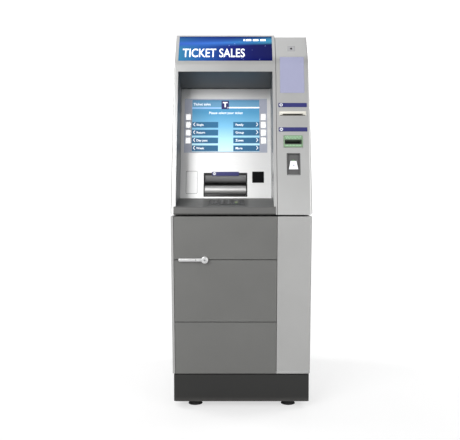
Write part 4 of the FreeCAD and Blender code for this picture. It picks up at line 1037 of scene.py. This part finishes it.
# ---- inside, seen when the door or the fascia is open
def build_cassettes():
    """Latches, label windows and lamps on the cassettes' fronts."""
    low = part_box("cash_cassettes")[0]
    fittings = (("label", rounded_outline(0.046, 0.018, 0.002, -0.080, 0.020), 0.0006, "paper", "cassette_grey",
                 0.0002),
                ("latch", rounded_outline(0.028, 0.020, 0.004, 0.080, 0.018), 0.0018, "blue", "cassette_grey", 0.0008),
                ("lamp", circle_outline(0.0022, 0.080, -0.010, 16), 0.0010, "green", "slot_green", 0.0005))
    for k in range(CASSETTES):
        front = upright(0, low.y, low.z + 0.053 + CASSETTE_PITCH * k) @ Matrix.Translation((0, 0, -0.002))
        for kind, outline, height, finish, slot, bevel in fittings:
            slab(f"cassette_{kind}_{k + 1}", outline, -0.0003, height, front, finish, "cabinet", slot, bevel)


def build_units():
    """Guides, thumb wheels, fan grille and sockets on the head's inner units."""
    low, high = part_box("recycler_unit")
    face = upright((low.x + high.x) / 2, -0.020, (low.z + high.z) / 2 + 0.02)
    width = high.x - low.x
    for k in range(3):
        v = 0.075 - 0.028 * k
        bm = bmesh.new()
        for u in (-width / 2 + 0.018, width / 2 - 0.018):
            made = bmesh.new()
            add_lathe(made, [(0, -0.0003), (0.010, -0.0003), (0.010, 0.008), (0.008, 0.010), (0, 0.010)], 24)
            merge(bm, made, Matrix.Translation((u, v, 0)))
        finish_mesh(f"recycler_wheels_{k + 1}", bm, face, "green", "cabinet", "unit_grey")
        slab(f"recycler_guide_{k + 1}", rounded_outline(width - 0.08, 0.010, 0.002, 0, v), -0.0003, 0.004, face,
             "steel", "cabinet", "plain_steel", 0.001)
    low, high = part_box("computer_unit")
    face = upright((low.x + high.x) / 2, low.y, (low.z + high.z) / 2)
    for k in range(5):
        radius = 0.010 + 0.007 * k
        ring(f"computer_fan_ring_{k + 1}", circle_outline(radius + 0.0012, 0, 0.07),
             circle_outline(radius - 0.0012, 0, 0.07), -0.0003, 0.0012, face, "steel", "cabinet", "plain_steel")
    for k in range(4):
        slab(f"computer_socket_{k + 1}", rounded_outline(0.016, 0.008, 0.001, -0.045 + 0.030 * k, -0.02), -0.0003,
             0.0012, face, "black", "cabinet", "slot_black", 0.0003)
    for k in range(2):
        slab(f"computer_bay_{k + 1}", rounded_outline(0.14, 0.030, 0.002, 0, -0.065 - 0.042 * k), -0.0003, 0.0012, face,
             "zinc", "cabinet", "plain_steel", 0.0004)


def build_door_inside():
    """Cap and screws of the lock behind the safe door."""
    low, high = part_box("safe_lock")
    place = upright((low.x + high.x) / 2, high.y, (low.z + high.z) / 2, math.pi)
    turned("lock_cap", [(0, -0.0004), (0.009, -0.0004), (0.009, 0.0002), (0.0075, 0.0008), (0, 0.0008)], 28, place,
           "brass", "lower_door", "plain_steel")
    spots = [upright(x, high.y - 0.006, z, math.pi) for x in (low.x + 0.010, high.x - 0.010)
             for z in (low.z + 0.010, high.z - 0.010)]
    screws("lock_screws", spots, "lower_door", "plain_steel", "steel", 0.003)


# ---- stage
def build_stage(sizes):
    """Pale floor that sweeps up behind, soft lights and the camera."""
    scene = bpy.context.scene
    material, tree, shader = new_material("studio_floor")
    place = tree.nodes.new("ShaderNodeTexCoord").outputs["Object"]
    tone = blend_colours(tree, noise(tree, place, 3.0), (0.36, 0.36, 0.36), (0.38, 0.38, 0.38))
    tree.links.new(tone, shader.inputs["Base Color"])
    tree.links.new(spread_value(tree, noise(tree, place, 8.0), 0.55, 0.7), shader.inputs["Roughness"])
    seen = tree.nodes.new("ShaderNodeLightPath").outputs["Is Camera Ray"]
    tree.links.new(spread_value(tree, seen, 0.0, sizes.floor_glow), shader.inputs["Emission Strength"])
    shader.inputs["Emission Color"].default_value = (1.0, 1.0, 1.0, 1.0)
    sweep = [math.pi / 2 * k / 12 for k in range(1, 13)]
    profile = [(-6.0, 0.0), (3.0, 0.0)]
    profile += [(3.0 + 1.5 * math.sin(a), 1.5 - 1.5 * math.cos(a)) for a in sweep]
    profile.append((4.5, 6.0))
    bm = bmesh.new()
    rows = [[bm.verts.new((x, y, z)) for x in (-7.0, 7.0)] for y, z in profile]
    for first, second in zip(rows, rows[1:]):
        bm.faces.new((first[0], first[1], second[1], second[0]))
    mesh = bpy.data.meshes.new("studio_floor")
    bm.to_mesh(mesh)
    bm.free()
    mesh.materials.append(material)
    mesh.shade_smooth()
    floor = bpy.data.objects.new("studio_floor", mesh)
    scene.collection.objects.link(floor)
    floor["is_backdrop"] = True

    world = bpy.data.worlds.new("studio")
    scene.world = world
    world.use_nodes = True
    nodes, links = world.node_tree.nodes, world.node_tree.links
    background = nodes["Background"]
    sky = nodes.new("ShaderNodeTexCoord")
    split = nodes.new("ShaderNodeSeparateXYZ")
    shades = nodes.new("ShaderNodeValToRGB")
    links.new(sky.outputs["Generated"], split.inputs[0])
    lift = nodes.new("ShaderNodeMapRange")
    lift.inputs["From Min"].default_value, lift.inputs["From Max"].default_value = -1.0, 1.0
    links.new(split.outputs["Z"], lift.inputs["Value"])
    links.new(lift.outputs[0], shades.inputs[0])
    shades.color_ramp.elements[0].position, shades.color_ramp.elements[0].color = 0.42, (0.55, 0.55, 0.56, 1)
    shades.color_ramp.elements[1].position, shades.color_ramp.elements[1].color = 0.93, (0.10, 0.10, 0.11, 1)
    for position, level in ((0.52, 1.0), (0.70, 1.0), (0.80, 0.45)):
        shades.color_ramp.elements.new(position).color = (level, level, level, 1)
    links.new(shades.outputs[0], background.inputs["Color"])
    background.inputs["Strength"].default_value = sizes.sky_strength

    for name, location, target, width, height, share in LIGHTS:
        light = bpy.data.lights.new(name, "AREA")
        light.shape, light.size, light.size_y = "RECTANGLE", width, height
        light.energy = sizes.key_power * share
        holder = bpy.data.objects.new(name, light)
        holder.location = location
        holder.rotation_euler = (Vector(target) - Vector(location)).to_track_quat("-Z", "Y").to_euler()
        scene.collection.objects.link(holder)


    camera = bpy.data.cameras.new("camera")
    camera.lens, camera.sensor_width = sizes.lens, 36.0
    holder = bpy.data.objects.new("camera", camera)
    low, high = CAD_BOX
    camera.shift_x = LENS_SHIFT
    holder.location = ((low[0] + high[0]) / 2 - CAMERA_ASIDE, low[1] - sizes.camera_distance, sizes.camera_height)
    holder.rotation_euler = (math.radians(90 - sizes.camera_dip), 0, 0)
    scene.collection.objects.link(holder)
    scene.camera = holder
    scene.view_settings.view_transform = "Standard"
    scene.view_settings.look = "None"


# ---- settings, operators and panel
class TerminalColours(bpy.types.PropertyGroup):
    """Main colours of the skins."""
    light_moulding: bpy.props.FloatVectorProperty(
        name="Head", description="Silver-grey mouldings of the head", subtype="COLOR", size=3, min=0, max=1,
        default=(0.62, 0.622, 0.615))
    dark_cover: bpy.props.FloatVectorProperty(
        name="Door covers", description="Dark covers over the safe door", subtype="COLOR", size=3, min=0, max=1,
        default=(0.230, 0.230, 0.222))
    lower_light: bpy.props.FloatVectorProperty(
        name="Lower column", description="Light covers beside and around the safe", subtype="COLOR", size=3, min=0,
        max=1, default=(0.535, 0.535, 0.527))
    recess: bpy.props.FloatVectorProperty(
        name="Recess", description="Walls and ceiling of the operating recess", subtype="COLOR", size=3, min=0, max=1,
        default=(0.070, 0.080, 0.088))
    shelf: bpy.props.FloatVectorProperty(
        name="Shelf", description="Shelf under the operator panel", subtype="COLOR", size=3, min=0, max=1,
        default=(0.150, 0.150, 0.146))


class TerminalSizes(bpy.types.PropertyGroup):
    """Sizes and stage settings."""
    sign_letter_height: bpy.props.FloatProperty(
        name="Sign letters", description="Height of the sign's capitals", unit="LENGTH", default=0.040)
    lens: bpy.props.FloatProperty(name="Lens", description="Camera focal length in millimetres", default=50.0)
    camera_distance: bpy.props.FloatProperty(
        name="Camera distance", description="Camera to the machine's nose", unit="LENGTH", default=2.561)
    camera_height: bpy.props.FloatProperty(
        name="Camera height", description="Camera above the floor", unit="LENGTH", default=0.894)
    camera_dip: bpy.props.FloatProperty(
        name="Camera dip", description="Downward tilt of the camera in degrees", default=2.5)
    key_power: bpy.props.FloatProperty(name="Key power", description="Power of the main light", unit="POWER",
                                       default=98.0)
    sky_strength: bpy.props.FloatProperty(name="Sky", description="Strength of the surrounding light", default=0.58)
    floor_glow: bpy.props.FloatProperty(name="Floor glow", description="Brightness added to the seen floor",
                                        default=0.62)


def operator(idname, label, doc, *steps):
    """An operator class that runs these steps; a step that takes an argument is given the sizes."""

    def execute(self, context):
        for step in steps:
            step(context.scene.terminal_sizes) if step.__code__.co_argcount else step()
        return {"FINISHED"}

    return type("TERMINAL_OT_" + idname, (bpy.types.Operator,),
                {"bl_idname": "terminal." + idname, "bl_label": label, "__doc__": doc, "execute": execute})


def build_finishes():
    make_effects()
    make_finishes(bpy.context.scene.terminal_colours)
    paint_nodes()
    for node, width in BEVELLED.items():
        soften(node, width)


OPERATORS = (
    operator("finishes", "Finishes", "Makes the finishes and paints the frame's nodes", build_finishes),
    operator("sign", "Sign", "Lettering and tags on the lit sign", build_sign),
    operator("display", "Display", "Pane, picture and function key surround", build_display),
    operator("labels", "Guide labels", "Pictograms on the guide labels", build_labels),
    operator("cash_slot", "Cash slot", "Hood, notch and cheeks of the note slot", build_cash_slot),
    operator("panel_details", "Panel details", "Blank plate groove and scanner rim", build_panel_details),
    operator("pin_pad", "PIN pad", "Key legends and pad trim", build_pin_legends, build_pad_surround),
    operator("receipt_slot", "Receipt slot", "Lip and shadow line of the receipt slot", build_receipt_slot),
    operator("card_slot", "Card slot", "Lights and throat of the card slot", build_card_slot),
    operator("contactless", "Contactless reader", "Pad, lamp and waves of the reader", build_contactless),
    operator("camera_window", "Camera window", "Lens behind the camera window", build_camera),
    operator("back", "Back", "Screws, louvres, grommet and blank plate", build_back),
    operator("sides", "Sides", "Locks and screws on the sides", build_sides),
    operator("lower_details", "Lower details", "Lever cap and column ledge", build_lower_details),
    operator("cassettes", "Cassettes", "Labels, latches and lamps of the cassettes", build_cassettes),
    operator("units", "Inner units", "Wheels, guides, fan and sockets of the inner units", build_units),
    operator("door_inside", "Door inside", "Lock cap and screws behind the door", build_door_inside),
    operator("stage", "Stage", "Floor, lights and camera", build_stage),
)


class TERMINAL_PT_panel(bpy.types.Panel):
    """Lists the terminal's settings and building steps."""
    bl_label = "Ticket Terminal"
    bl_idname = "TERMINAL_PT_panel"
    bl_space_type = "VIEW_3D"
    bl_region_type = "UI"
    bl_category = "Terminal"

    def draw(self, context):
        for group in (context.scene.terminal_colours, context.scene.terminal_sizes):
            for name in group.__annotations__:
                self.layout.prop(group, name)
        for step in OPERATORS:
            self.layout.operator(step.bl_idname)


CLASSES = (TerminalColours, TerminalSizes, *OPERATORS, TERMINAL_PT_panel)


def register():
    for each in CLASSES:
        bpy.utils.register_class(each)
    bpy.types.Scene.terminal_colours = bpy.props.PointerProperty(type=TerminalColours)
    bpy.types.Scene.terminal_sizes = bpy.props.PointerProperty(type=TerminalSizes)


def unregister():
    del bpy.types.Scene.terminal_sizes
    del bpy.types.Scene.terminal_colours
    for each in reversed(CLASSES):
        bpy.utils.unregister_class(each)


def main():
    register()
    for step in OPERATORS:
        getattr(bpy.ops.terminal, step.bl_idname.split(".")[1])()
    boxes = {"cad": [list(corner) for corner in CAD_BOX], "visual": [list(corner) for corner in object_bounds()]}


if __name__ == "__main__":
    main()
